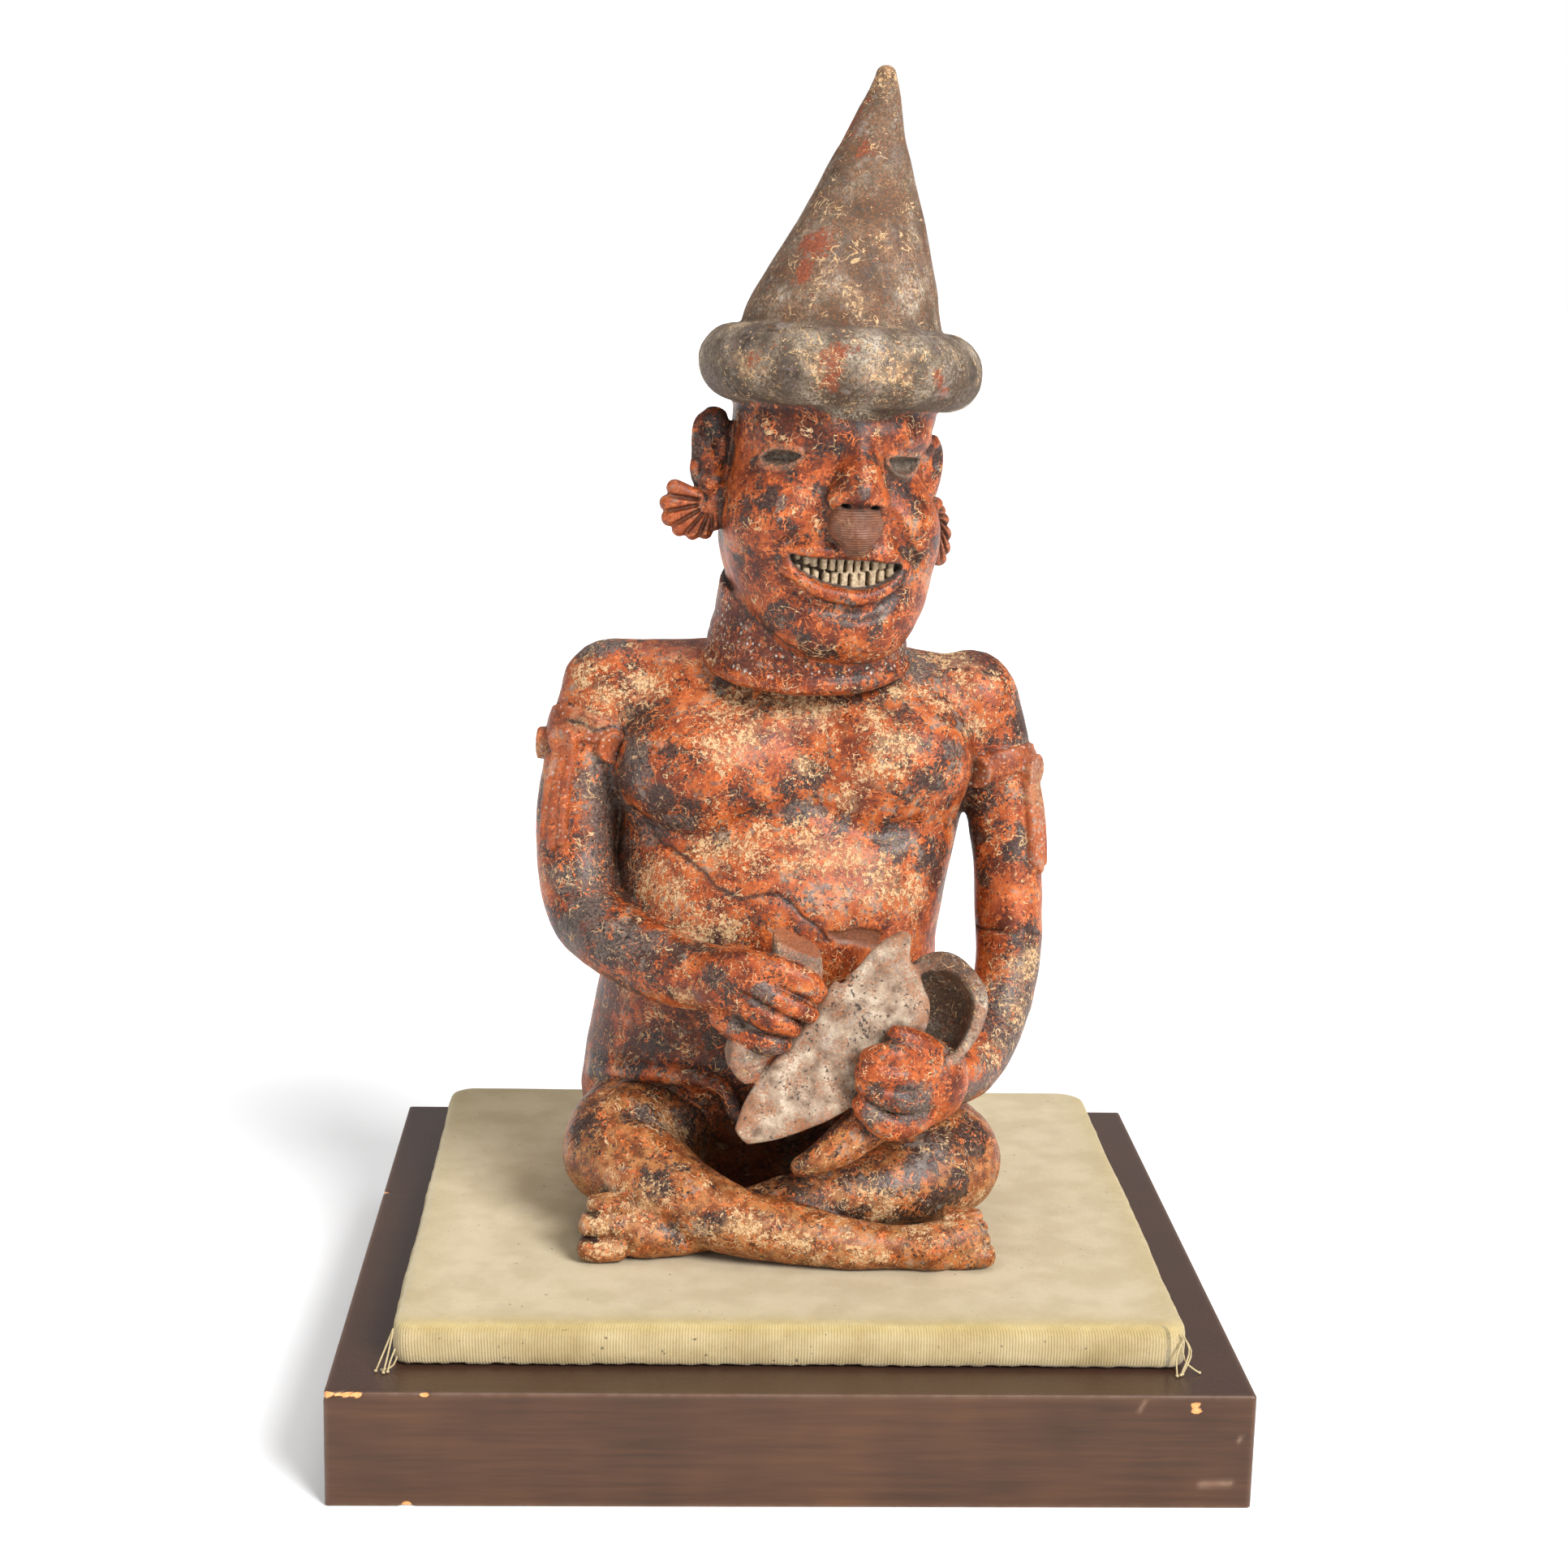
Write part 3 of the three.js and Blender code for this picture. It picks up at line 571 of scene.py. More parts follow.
def drum(clay):
    plate = limb([
        (-68, 2.5, 0, 6, 3.5), (-56, 4.5, 0, 13, 3.5), (-40, 7.5, 0, 19, 3.5), (-18, 12, 0, 24, 3.5),
        (8, 14, 0, 27, 3.5), (30, 13.5, 0, 27, 3.5), (42, 8, 0, 20, 3.5), (54, 1.5, 0, 11, 3.5),
        (67, -0.5, 0, 3.5, 3),
    ], round_end=0.5, squareness=3)

    def bowl(keys):
        """The bowl narrows towards its lower end; its keys are depth, half-length and half-width."""
        rows = [(depth, 27, 0, length - 15, width, width) for depth, length, width in keys]
        points, faces = stack(rows, squareness=2.4)
        upward = (points[:, 0] - 9) / 66
        points[:, 1] = 40 - 5 * upward + points[:, 1] * (0.72 + 0.28 * upward)
        return points, faces

    shell = Clay((-60, -150, 30), (130, -20, 200))
    shell.add(placed(DRUM, [bowl([(-2, 62, 30), (6, 64, 32), (17, 57, 28), (31, 28, 14)])]), 1, BOWL)
    shell.cut(placed(DRUM, [bowl([(-5, 54, 22.5), (5, 55, 24), (14, 49, 21), (25, 21, 9)])]), 4)
    tongue = limb([
        (52, -101, 84, 12, 11), (39, -108, 76.5, 11.5, 11.5), (25, -112, 67, 9.5, 11),
        (12, -113, 59.5, 6.5, 8), (6, -112, 56.5, 4.5, 5.5),
    ], up=(0, 1, 0), squareness=2.6)
    shell.add([tongue], 2, LEG)
    shell.add(placed(DRUM, [plate]), 1, PLATE)
    clay.patch(shell, 0.5)


def legs(clay):
    right_thigh = [(-50, 22, 44, 38, 36), (-68, -8, 46, 40, 36), (-86, -40, 44, 35, 33)]
    left_thigh = [(46, 22, 42, 36, 34), (66, -6, 42, 37, 33), (86, -34, 36, 33, 31)]
    for thigh in (right_thigh, left_thigh):
        clay.add([limb(thigh, sides=40)], 1.5, LEG)
    clay.add([limb([
        (91, -42, 34, 29), (76, -58, 32, 26.5), (55, -70, 31, 23), (28, -79, 28, 19), (0, -84, 24, 16.5),
        (-28, -88, 17, 13.5), (-54, -94, 11.5, 11), (-78, -99, 12, 10.5),
    ], sides=32)], 4, LEG)
    clay.add([limb([
        (-91, -48, 42, 30), (-75, -68, 35, 27), (-52, -86, 27, 21.5), (-25, -99, 20, 18), (5, -105, 16, 16),
        (35, -109, 12.5, 13.2), (62, -110, 11, 11.5), (80, -110, 12, 12),
    ], sides=32)], 2, LEG)


def feet(clay):
    left_foot = [(72, -110, 11, 11, 11), (86, -107, 13, 11, 13), (99, -105, 14, 11, 13)]
    right_foot = [(-70, -98, 11.5, 10, 10.5), (-84, -97, 14, 11, 13.5), (-97, -96, 15.5, 11, 15)]
    for foot in (left_foot, right_foot):
        clay.add([limb(foot, round_end=0.5)], 4, LEG)
    for x, y, z, width, height in (
        (111, -108, 6.2, 9, 6.4), (110.5, -104, 14, 8, 3.6), (109.5, -101, 19.3, 8, 3.4),
        (107, -98, 24.8, 8, 3.6), (-110, -101, 6.6, 10, 6.8), (-110, -99, 18.7, 9.5, 6.2),
        (-107, -95, 28.6, 9, 4.6),
    ):
        side = math.copysign(1, x)
        toe = limb([(x - 22 * side, y, z, width, height), (x - 12 * side, y, z, width, height),
                    (x - 4.5 * side, y, z, width - 1.5, height - 0.6)], squareness=2.5, round_end=0.8)
        clay.add([toe], 1, LEG)


# Each armband: its arm, its height, its studs (degrees from the front, rise) and its tassel's turn
ARMBANDS = (
    (RIGHT_ARM, 259, ((-96, -4), (-36, 1.5), (23, -0.5)), -33),
    (LEFT_ARM, 246.5, ((-27, 0), (57, 0), (130, 0)), 55),
)
TASSEL_DROP = 50


def on_arm(arm, z):
    """The middle and the radius of an upper arm at a height."""
    upper = arm[:5]
    falls = [-key[2] for key in upper]
    return [np.interp(-z, falls, [key[i] for key in upper]) for i in (0, 1, 3)]


def armbands(clay):
    for arm, level, studs, tassel_at in ARMBANDS:

        def outward(turn, z, out):
            """A point at a height, turned from the front and so far out of the arm's skin."""
            x, y, radius = on_arm(arm, z)
            reach = radius + out
            return x + reach * math.sin(radians(turn)), y - reach * math.cos(radians(turn)), z

        strap = []
        for z, proud in ((level + 6, 2.3), (level, 2.8), (level - 6, 2.3)):
            x, y, radius = on_arm(arm, z)
            strap.append((x, y, z, radius + proud))
        clay.add([limb(strap, up=(0, 1, 0), round_end=0.1, sides=48)], 1, TRIM)
        for turn, rise in studs:
            at = lambda out: outward(turn, level + rise, out)
            disc = [(*at(-3), 9), (*at(5.2), 9), (*at(5.8), 8.4)]
            dish = [(*at(6), 6.3), (*at(8.5), 6.3)]
            clay.add([limb(disc, round_end=0.12, sides=32)], 0.4, TRIM)
            clay.cut([limb(dish, round_end=0.1, sides=24)], 0.6)
        for lean, long in ((-13, 0.9), (0, 1), (13, 0.94)):
            strand = []
            for share, thick, fan in ((0, 3, 0.8), (0.35, 3.5, 0.95), (0.7, 3.6, 1), (1, 3, 1.1)):
                z = level - 4 - TASSEL_DROP * long * share
                strand.append((*outward(tassel_at + lean * fan, z, 1.2), thick))
            clay.add([limb(strand)], 1, TRIM)


def crack(clay, line, wide):
    """A crack over the skin that faces the viewer, through points of x and z."""
    rng = np.random.default_rng(len(line))
    length = sum(math.dist(a, b) for a, b in zip(line, line[1:]))
    path = spread(line, int(length / 2.5))
    path[1:-1] += rng.uniform(-0.9, 0.9, path[1:-1].shape)
    clay.cut([limb([(x, clay.front(x, z) + 0.3, z, wide) for x, z in path])], 0.6, CRACK)


def belly_damage(clay):
    """The long crack across the belly, and the flake lost at its end."""
    flake = [(22, 168.5, 1.5), (28, 166.5, 3), (36, 166.5, 4.5), (48, 163.5, 5)]
    lost = [(x, clay.front(x, z) - 0.4, z, 1.6, high) for x, z, high in flake]
    clay.cut([limb(lost, squareness=4)], 0.6, BARE)
    line = [
        (-91, 235), (-85, 229), (-78, 220), (-69, 210), (-62, 208), (-51, 201), (-45, 197), (-40, 192),
        (-27, 187), (-6, 188), (12, 174), (21, 165),
    ]
    crack(clay, line, 0.65)


def other_cracks(clay):
    jaw = [(-39, 359), (-31, 342), (-14, 328), (8, 317)]
    arm = [(107, 159), (115, 160), (126, 159), (132, 161), (135, 159), (141, 157)]
    shoulder = [(-122, 272), (-114, 271), (-107, 268), (-102, 267), (-96, 270), (-91, 266)]
    ear = [(-57, 416), (-50, 414), (-51, 407), (-50, 401), (-48, 395)]
    for line, wide in ((jaw, 0.7), (arm, 0.55), (shoulder, 0.5), (ear, 0.7)):
        crack(clay, line, wide)


def model_figure():
    clay = Clay((-160, -150, -10), (160, 115, 632))
    trunk(clay)
    belly_damage(clay)
    legs(clay)
    feet(clay)
    right_arm(clay)
    left_arm(clay)
    choker(clay)
    head(clay)
    ears(clay)
    hat(clay)
    armbands(clay)
    other_cracks(clay)
    drum(clay)
    z = (np.arange(clay.field.shape[2]) + clay.low[2]) * VOXEL
    clay.field = np.maximum(clay.field, -z[None, None, :].astype(np.float32))
    return clay


# Meshes and pieces


def mesh_object(name, points, triangles, quads=()):
    mesh = bpy.data.meshes.new(name)
    triangles = np.array(triangles, np.int32).reshape(-1, 3)
    quads = np.array(quads, np.int32).reshape(-1, 4)
    mesh.vertices.add(len(points))
    mesh.vertices.foreach_set("co", np.asarray(points, np.float32).ravel())
    corners = np.concatenate([triangles.ravel(), quads.ravel()])
    totals = np.concatenate([np.full(len(triangles), 3), np.full(len(quads), 4)])
    mesh.loops.add(len(corners))
    mesh.loops.foreach_set("vertex_index", corners)
    mesh.polygons.add(len(totals))
    mesh.polygons.foreach_set("loop_start", np.concatenate([[0], np.cumsum(totals)[:-1]]).astype(np.int32))
    mesh.polygons.foreach_set("use_smooth", np.ones(len(totals), bool))
    mesh.update(calc_edges=True)
    mesh.validate()
    piece = bpy.data.objects.new(name, mesh)
    bpy.context.scene.collection.objects.link(piece)
    return piece


def settle(piece):
    """The piece's modifiers become its mesh."""
    graph = bpy.context.evaluated_depsgraph_get()
    mesh = bpy.data.meshes.new_from_object(piece.evaluated_get(graph))
    piece.modifiers.clear()
    piece.data = mesh


def vectors(items, name):
    """One vector of each of a mesh's items, as rows."""
    values = np.empty(len(items) * 3, np.float32)
    items.foreach_get(name, values)
    return values.reshape(-1, 3)


def lumps(points, size, seed):
    """Smooth seeded heights from -1 to 1, in humps of that size."""
    heights = np.random.default_rng(seed).uniform(-1, 1, (64, 64, 64))
    base = np.floor(points / size).astype(int)
    t = points / size - base
    t = t * t * (3 - 2 * t)
    total = np.zeros(len(points))
    for corner in np.ndindex(2, 2, 2):
        i, j, k = ((base + corner) % 64).T
        total += np.prod(np.where(corner, t, 1 - t), axis=1) * heights[i, j, k]
    return total


def set_amount(mesh, name, values):
    mesh.attributes.new(name, "FLOAT", "POINT").data.foreach_set("value", np.asarray(values, np.float32))


# Stains on the front as (x, z, reach), or (x, y, z, reach) where another part hides the place;
# some places in the lists below are painted shade, as the comment above each list says

# Black stains; the places along the chest fold, in the right armpit, between the right arm and the trunk and
# in the lap are painted shade
SOOT_AND_SHADE = (
    (-125, 226, 14), (-115, 193, 16), (-108, 177, 16), (-124, 160, 17), (-102, 155, 17), (-79, 160, 14),
    (-54, 166, 11), (-35, 158, 9), (-80, 274, 14), (-86, 261, 14), (-89, 248, 14), (-64, 264, 9),
    (-55, 230, 13), (-72, 233, 13), (-84, 222, 10), (-70, 216, 9), (-36, 218, 8), (-18, 227, 9),
    (0, 235, 10), (28, 226, 9), (50, 219, 9), (11, 253, 12), (-1, 243, 11), (57, 211, 10), (76, 205, 12),
    (81, 250, 12), (89, 276, 12), (106, 245, 10), (103, 229, 10), (127, 206, 9), (114, 298, 9),
    (136, 153, 10), (117, 122, 15), (131, 105, 14), (-40, 112, 10), (-72, 104, 8), (-88, 190, 16),
    (-92, 165, 16), (-90, 140, 12), (-105, 79, 14), (-84, 82, 11), (-74, 66, 12), (-112, 59, 12),
    (-68, 40, 10), (-39, 26, 9), (-52, 59, 10), (34, 45, 10), (53, 37, 10), (78, 55, 14), (104, 55, 12),
    (95, 35, 10), (0, -60, 50, 34), (-24, -56, 60, 24), (24, -58, 60, 26), (0, -60, 20, 24), (21, 423, 6),
    (36, 424, 5), (12, 405, 5), (-18, 398, 7), (-4, 412, 6), (-29, 387, 5), (-25, 418, 5), (52, 406, 6),
    (61, 393, 7), (23, 341, 6), (-8, 341, 6), (3, 325, 7), (12, 321, 7), (-14, 332, 6), (41, 335, 6),
    (56, 353, 7), (-31, 365, 6), (-49, 424, 9), (-42, 435, 8), (-55, 396, 9), (-48, 376, 7), (73, 418, 7),
    (79, 368, 8), (110, 185, 6), (65, 90, 7), (46, 104, 5),
)
# Grey clouds; the places along the chest fold are painted shade
SMOKE_AND_SHADE = (
    (-104, 238, 17), (-101, 222, 17), (-101, 206, 17), (-103, 190, 18), (-108, 176, 18), (-98, 166, 15),
    (-84, 166, 14), (-118, 160, 17), (-70, 166, 11), (-122, 190, 12), (128, 120, 21), (124, 104, 20),
    (110, 94, 17), (136, 138, 17), (98, 88, 13), (66, 98, 13), (46, 92, 9), (-12, 150, 8), (-30, 134, 9),
    (134, 284, 9), (128, 262, 7), (-84, 262, 12), (-80, 250, 10), (88, 262, 11), (86, 180, 12),
    (-60, 222, 9), (-76, 214, 10), (4, 232, 9), (30, 224, 8), (52, 214, 9), (-55, 60, 12), (-80, 68, 9),
    (70, 40, 10), (84, 52, 10), (16, 232, 7), (-10, 120, 9), (-8, 398, 5), (34, 404, 5), (-14, 352, 5),
    (27, 346, 4), (-52, 404, 6),
)
# Brown stains; the places on the forehead just under the brim and on the brim's underside are painted shade
UMBER_AND_SHADE = (
    (-97, 120, 20), (-62, 114, 22), (-40, 108, 18), (-78, 96, 22), (-46, 90, 18), (-100, 96, 18),
    (-104, 82, 14), (-30, 444, 14), (-13, 440, 15), (7, 436, 15), (25, 434, 14), (42, 441, 13),
    (60, 439, 12), (-46, 432, 12), (80, 190, 16), (84, 165, 18), (82, 140, 18), (-10, 418, 6), (22, 412, 7),
    (-48, 410, 9), (62, 424, 9), (-46, 380, 8), (66, 396, 7), (-30, 330, 9), (48, 344, 9), (10, 318, 9),
    (-44, -64, 452, 15), (-14, -76, 450, 15), (20, -80, 449, 15), (50, -74, 450, 15), (78, -52, 452, 15),
)
LIME = (
    (-41, 208, 15), (-19, 213, 16), (11, 213, 17), (-75, 190, 15), (-49, 168, 14), (-32, 174, 13),
    (-10, 177, 9), (50, 196, 14), (68, 187, 12), (30, 205, 12), (-60, 186, 14), (-33, 284, 16),
    (-8, 289, 15), (14, 285, 15), (-37, 266, 15), (-22, 272, 13), (10, 254, 8), (49, 259, 14), (32, 241, 9),
    (58, 268, 13), (38, 250, 10), (45, 282, 12), (59, 291, 10), (73, 289, 8), (82, 285, 9), (100, 276, 8),
    (-97, 284, 14), (-113, 297, 12), (-78, 291, 12), (-109, 274, 10), (-101, 138, 12), (-85, 133, 11),
    (-21, 23, 14), (1, 17, 14), (17, 7, 10), (-61, 59, 11), (-45, 16, 12), (-75, 30, 12), (40, 12, 10),
    (53, 25, 13), (69, 22, 12), (43, 35, 9), (27, 25, 9), (86, 26, 8), (-98, 9, 9), (-89, 12, 10),
    (-105, 28, 8), (104, 12, 8), (-56, 141, 9), (-47, 131, 8), (94, 295, 10), (113, 295, 8), (132, 140, 13),
    (124, 118, 11), (112, 100, 10), (-10, 402, 5), (-27, 392, 5), (-14, 386, 6), (50, 389, 5), (48, 380, 5),
    (-11, 356, 5), (47, 336, 5), (59, 389, 6), (8, 470, 16), (44, 466, 18), (-30, 466, 14), (30, 500, 9),
    (38, 530, 8), (-98, 20, 14), (-100, 6, 10), (108, 22, 9), (-92, 40, 9),
)
RUST = (
    (14, 474, 8), (17, 464, 7), (68, 462, 6), (72, 456, 4), (9, 530, 9), (2, 518, 7), (30, 575, 5),
    (-25, 470, 5), (-25, 80, 8), (-18, 98, 6), (-10, 111, 5), (6, 77, 8), (19, 84, 8), (34, 96, 7),
    (57, 168, 8), (62, 150, 6), (44, 162, 5),
)


def stain_amounts(points, clay, places, count, seed):
    """How much of a stain, or of painted shade, lies on each point: known places in front, seeded ones on the
    sides and back.
    A place of three numbers lies on the skin that faces the viewer; one of four has its own depth."""
    rng = np.random.default_rng(seed)
    places = [p if len(p) == 4 else (p[0], clay.front(p[0], p[1]), p[1], p[2]) for p in places]
    behind = points[points[:, 1] > 5]
    places += [(*p, rng.uniform(9, 24)) for p in behind[rng.integers(len(behind), size=count)]]
    ragged = points + 5 * np.stack([lumps(points, 17, seed + n) for n in (20, 40, 60)], 1)
    amount = np.zeros(len(points))
    for x, y, z, reach in places:
        amount = np.maximum(amount, np.exp(-((ragged - (x, y, z)) ** 2).sum(1) / reach**2))
    return amount


# Wares that the material reads as they are, and those that were finished smooth
MARKED_WARES = {
    "lid": LID, "eye": EYE, "worn_leg": LEG, "tooth": TEETH, "trim": TRIM, "ridged": NOSE_PLATE,
    "pit": HOLLOW, "crack": CRACK, "bare": BARE,
}
SMOOTH_WARES = (TEETH, HOLLOW, TRIM, CRACK, PLATE, EYE)
# The unevenness that the maker's hands left, as (height, size, seed)
HAND_MARKS = ((0.8, 28, 3), (0.45, 11, 4), (0.16, 4.5, 5))


def figure_amounts(clay, co, out, share, collar):
    """What each point of the skin is made of and has been through, and where it gets painted shade, by the
    names that its material reads.
    """
    # Painted shade: darker in the lap, in creases and hollows, and where the skin is enclosed; the last of
    # these is added to the black stains
    lap = np.exp(-(((co - (2, -42, 30)) / (46, 32, 38)) ** 4).sum(1))
    closed_in = np.clip((3 - clay.at(co + 3 * out)) / 3.5, 0, 1)
    enclosed_shade = np.clip(1 - clay.at(co + 9 * out) / 9, 0, 0.7)
    on_head = np.clip((co[:, 2] - 330) / 12, 0, 1)
    amounts = {
        "hollow": np.maximum(lap, closed_in) * (1 - 0.8 * share[TEETH]),
        "edge": np.clip((3 + clay.at(co - 3 * out)) / 2, 0, 1),
        "soot_and_shade": np.maximum(stain_amounts(co, clay, SOOT_AND_SHADE, 70, 11), enclosed_shade),
        "smoke_and_shade": stain_amounts(co, clay, SMOKE_AND_SHADE, 16, 15),
        "umber_and_shade": stain_amounts(co, clay, UMBER_AND_SHADE, 24, 14),
        "lime": stain_amounts(co, clay, LIME, 60, 12) - on_head * (0.55 - 0.35 * share[HAT]),
        "rust": stain_amounts(co, clay, RUST, 20, 13),
        "ash": share[HAT] + 0.75 * share[BOWL] + 0.5 * share[BEATER] + share[PLATE] + share[TEETH],
        "pale": share[PLATE] + share[TEETH] + 0.2 * share[BEATER],
        "cone": share[HAT] * np.clip((co[:, 2] - 482) / 10, 0, 1),
        "studded": share[CHOKER] * (collar[:, 2] > 0) + 0.6 * (share[TRIM] * (co[:, 2] < 300)),
        "brown": share[CHOKER] * np.clip((collar[:, 2] + 1.5) / 3, 0.15, 1),
    }
    amounts.update((name, share[ware]) for name, ware in MARKED_WARES.items())
    return amounts


def figure_piece():
    clay = model_figure()
    points, triangles, quads = clay.skin()
    piece = mesh_object("clay_figure", points, triangles, quads)
    count = 2 * len(quads) + len(triangles)
    if count > MOST_TRIANGLES:
        thin = piece.modifiers.new("thin", "DECIMATE")
        thin.ratio = MOST_TRIANGLES / count
        settle(piece)
    mesh = piece.data
    co = vectors(mesh.vertices, "co").astype(float)
    out = vectors(mesh.vertex_normals, "vector")
    share = {ware: clay.at(co - 0.8 * out, (clay.ware == ware).astype(np.float32)) for ware in WARES}
    collar = (co - np.array(COLLAR.translation)) @ np.array(COLLAR)[:3, :3]
    amounts = figure_amounts(clay, co, out, share, collar)
    for name, values in amounts.items():
        set_amount(mesh, name, values)
    hand = sum(height * lumps(co, size, seed) for height, size, seed in HAND_MARKS)
    hand *= 1 - 0.7 * np.clip(sum(share[ware] for ware in SMOOTH_WARES), 0, 1)
    co += out * hand[:, None]
    co[:, 2] = np.maximum(co[:, 2], 0)
    around = np.arctan2(collar[:, 0], -collar[:, 1]) * COLLAR_RADIUS
    rows = np.stack([around, np.zeros(len(co)), collar[:, 2]], 1)
    rows = np.where(share[CHOKER][:, None] > 0.5, rows, co)
    cells = mesh.attributes.new("rows", "FLOAT_VECTOR", "POINT")
    cells.data.foreach_set("vector", rows.astype(np.float32).ravel())
    mesh.vertices.foreach_set("co", ((co + (0, 0, FIGURE_FOOT)) / 1000).astype(np.float32).ravel())
    mesh.polygons.foreach_set("use_smooth", np.ones(len(mesh.polygons), bool))
    mesh.update()
    mesh.materials.append(burnished_slip(amounts))
    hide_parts("figure")
    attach(piece, "root")


def box_skin(width, depth, profile, corners, around, inner):
    """Rings of a rounded box from a profile of (z, inset), then rings that close over its top."""
    sides = []
    for quarter, ((sx, sy), radius) in enumerate(zip(((1, -1), (1, 1), (-1, 1), (-1, -1)), corners)):
        for turn in np.linspace(0, 90, 9) + 90 * (quarter - 1):
            sides.append((sx * (width / 2 - radius) + radius * math.cos(radians(turn)),
                          sy * (depth / 2 - radius) + radius * math.sin(radians(turn))))
    sides = np.array(sides + sides[:1])
    length = np.concatenate([[0], np.cumsum(np.linalg.norm(np.diff(sides, axis=0), axis=1))])
    at = np.linspace(0, length[-1], around + 1)[:-1]
    outline = np.stack([np.interp(at, length, sides[:, 0]), np.interp(at, length, sides[:, 1])], 1)
    shrink = lambda inset: outline * np.array([1 - 2 * inset / width, 1 - 2 * inset / depth])
    rings = [np.column_stack([shrink(inset), np.full(around, z)]) for z, inset in profile]
    top_z, top_inset = profile[-1]
    for share in np.linspace(0, 1, inner + 1)[1:]:
        inset = top_inset + (depth / 2 - 0.5 - top_inset) * share
        rings.append(np.column_stack([shrink(inset), np.full(around, top_z)]))
    return loft(rings), np.tile(at, len(rings))


# The routes of the yarns that hang frayed from the pad's front corners, the plinth's chips as
# (x, y, z, reach), and its scratches as two ends and a reach

YARNS = (
    ((-199, -184, 80), (-203, -187, 70), (-207, -191, 60.7)),
    ((-199, -185, 79), (-201, -189, 69), (-203, -193, 60.7)),
    ((-198, -186, 70), (-200, -189, 65), (-201, -192, 60.7)),
    ((-197, -186, 66), (-199, -188, 62), (-204, -190, 60.7)),
    ((197, -185, 80), (200.5, -188, 72), (196, -192, 60.7)),
    ((197, -186, 76), (194, -189, 69), (194, -193, 60.7)),
    ((198, -184, 78), (202, -186, 70), (197, -191, 60.7)),
    ((197, -186, 74), (199, -188, 66), (206, -189, 60.7)),
)
CHIPS = (
    (-229, -214.5, 59.5, 2.2), (-219, -215, 59.6, 2.2), (-214, -215, 59.6, 2.2), (-223, -215, 59.6, 1.5),
    (-181, -215, 59.6, 1.8), (-190, -215, 0.8, 1.7), (200, -215, 55.5, 1.9), (200.4, -215, 52.3, 1.9),
    (-229.5, 60, 59.6, 2), (120, 215, 59.5, 2),
)
SCRATCHES = (
    (171.6, -215, 52, 174.6, -215, 58, 0.9), (204.5, -215, 13, 218.8, -215, 13.6, 1.6),
    (222, -215, 36, 223, -215, 38, 1),
)
YARN_RADIUS = 0.45


def velvet_pad():
    profile = (
        (0.4, 3.5), (1.0, 1.4), (3, 0.5), (7, 0.2), (12, 0), (17, 0.1), (20.5, 0.6), (22.4, 1.7), (23.7, 3.6),
        (24.1, 7),
    )
    around, inner = ((700, 26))
    (points, faces), at = box_skin(PAD_WIDTH, PAD_DEPTH, profile, (9, 14, 12, 9), around, inner)
    top = np.clip((points[:, 2] - 22) / 1.7, 0, 1)
    uneven = 0.0035 * lumps(points, 31, 21) + 0.0016 * lumps(points, 9, 22)
    points[:, :2] *= 1 + (uneven * (1 - top))[:, None]
    points[:, 2] += top * np.minimum(0.6 * lumps(points, 60, 23) - 0.2, 0)
    ragged = points[:, 2] < 1.2
    points[ragged, 2] += 0.5 + 0.6 * lumps(points[ragged] * (1, 1, 0), 3.1, 24)
    points[:, 2] = np.maximum(points[:, 2], 0.1)
    rim = np.exp(-((points[:, 2] - 21.5) / 2.2) ** 2)
    border = np.minimum(PAD_WIDTH / 2 - abs(points[:, 0]), PAD_DEPTH / 2 - abs(points[:, 1]))
    olive = np.maximum(rim, top * np.exp(-(border - 4) / 16))
    forms = [(points, faces)]
    for route in YARNS:
        yarn = [(x, y, z - PLINTH_HEIGHT, YARN_RADIUS) for x, y, z in route]
        tip = blob((*yarn[-1][:2], 0.9), (0.9, 0.9, 0.7))
        forms += [limb(spread(yarn, 9), sides=8), tip]
    whole, triangles = joined(forms)
    piece = mesh_object("velvet_pad", (whole + (0, 0, PLINTH_HEIGHT + 0.05)) / 1000, triangles)
    mesh = piece.data
    for name, values in (("along", at), ("top", top), ("olive", olive)):
        set_amount(mesh, name, np.pad(values, (0, len(whole) - len(values))))
    mesh.materials.append(cotton_velvet())
    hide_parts("pad")
    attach(piece, "root")


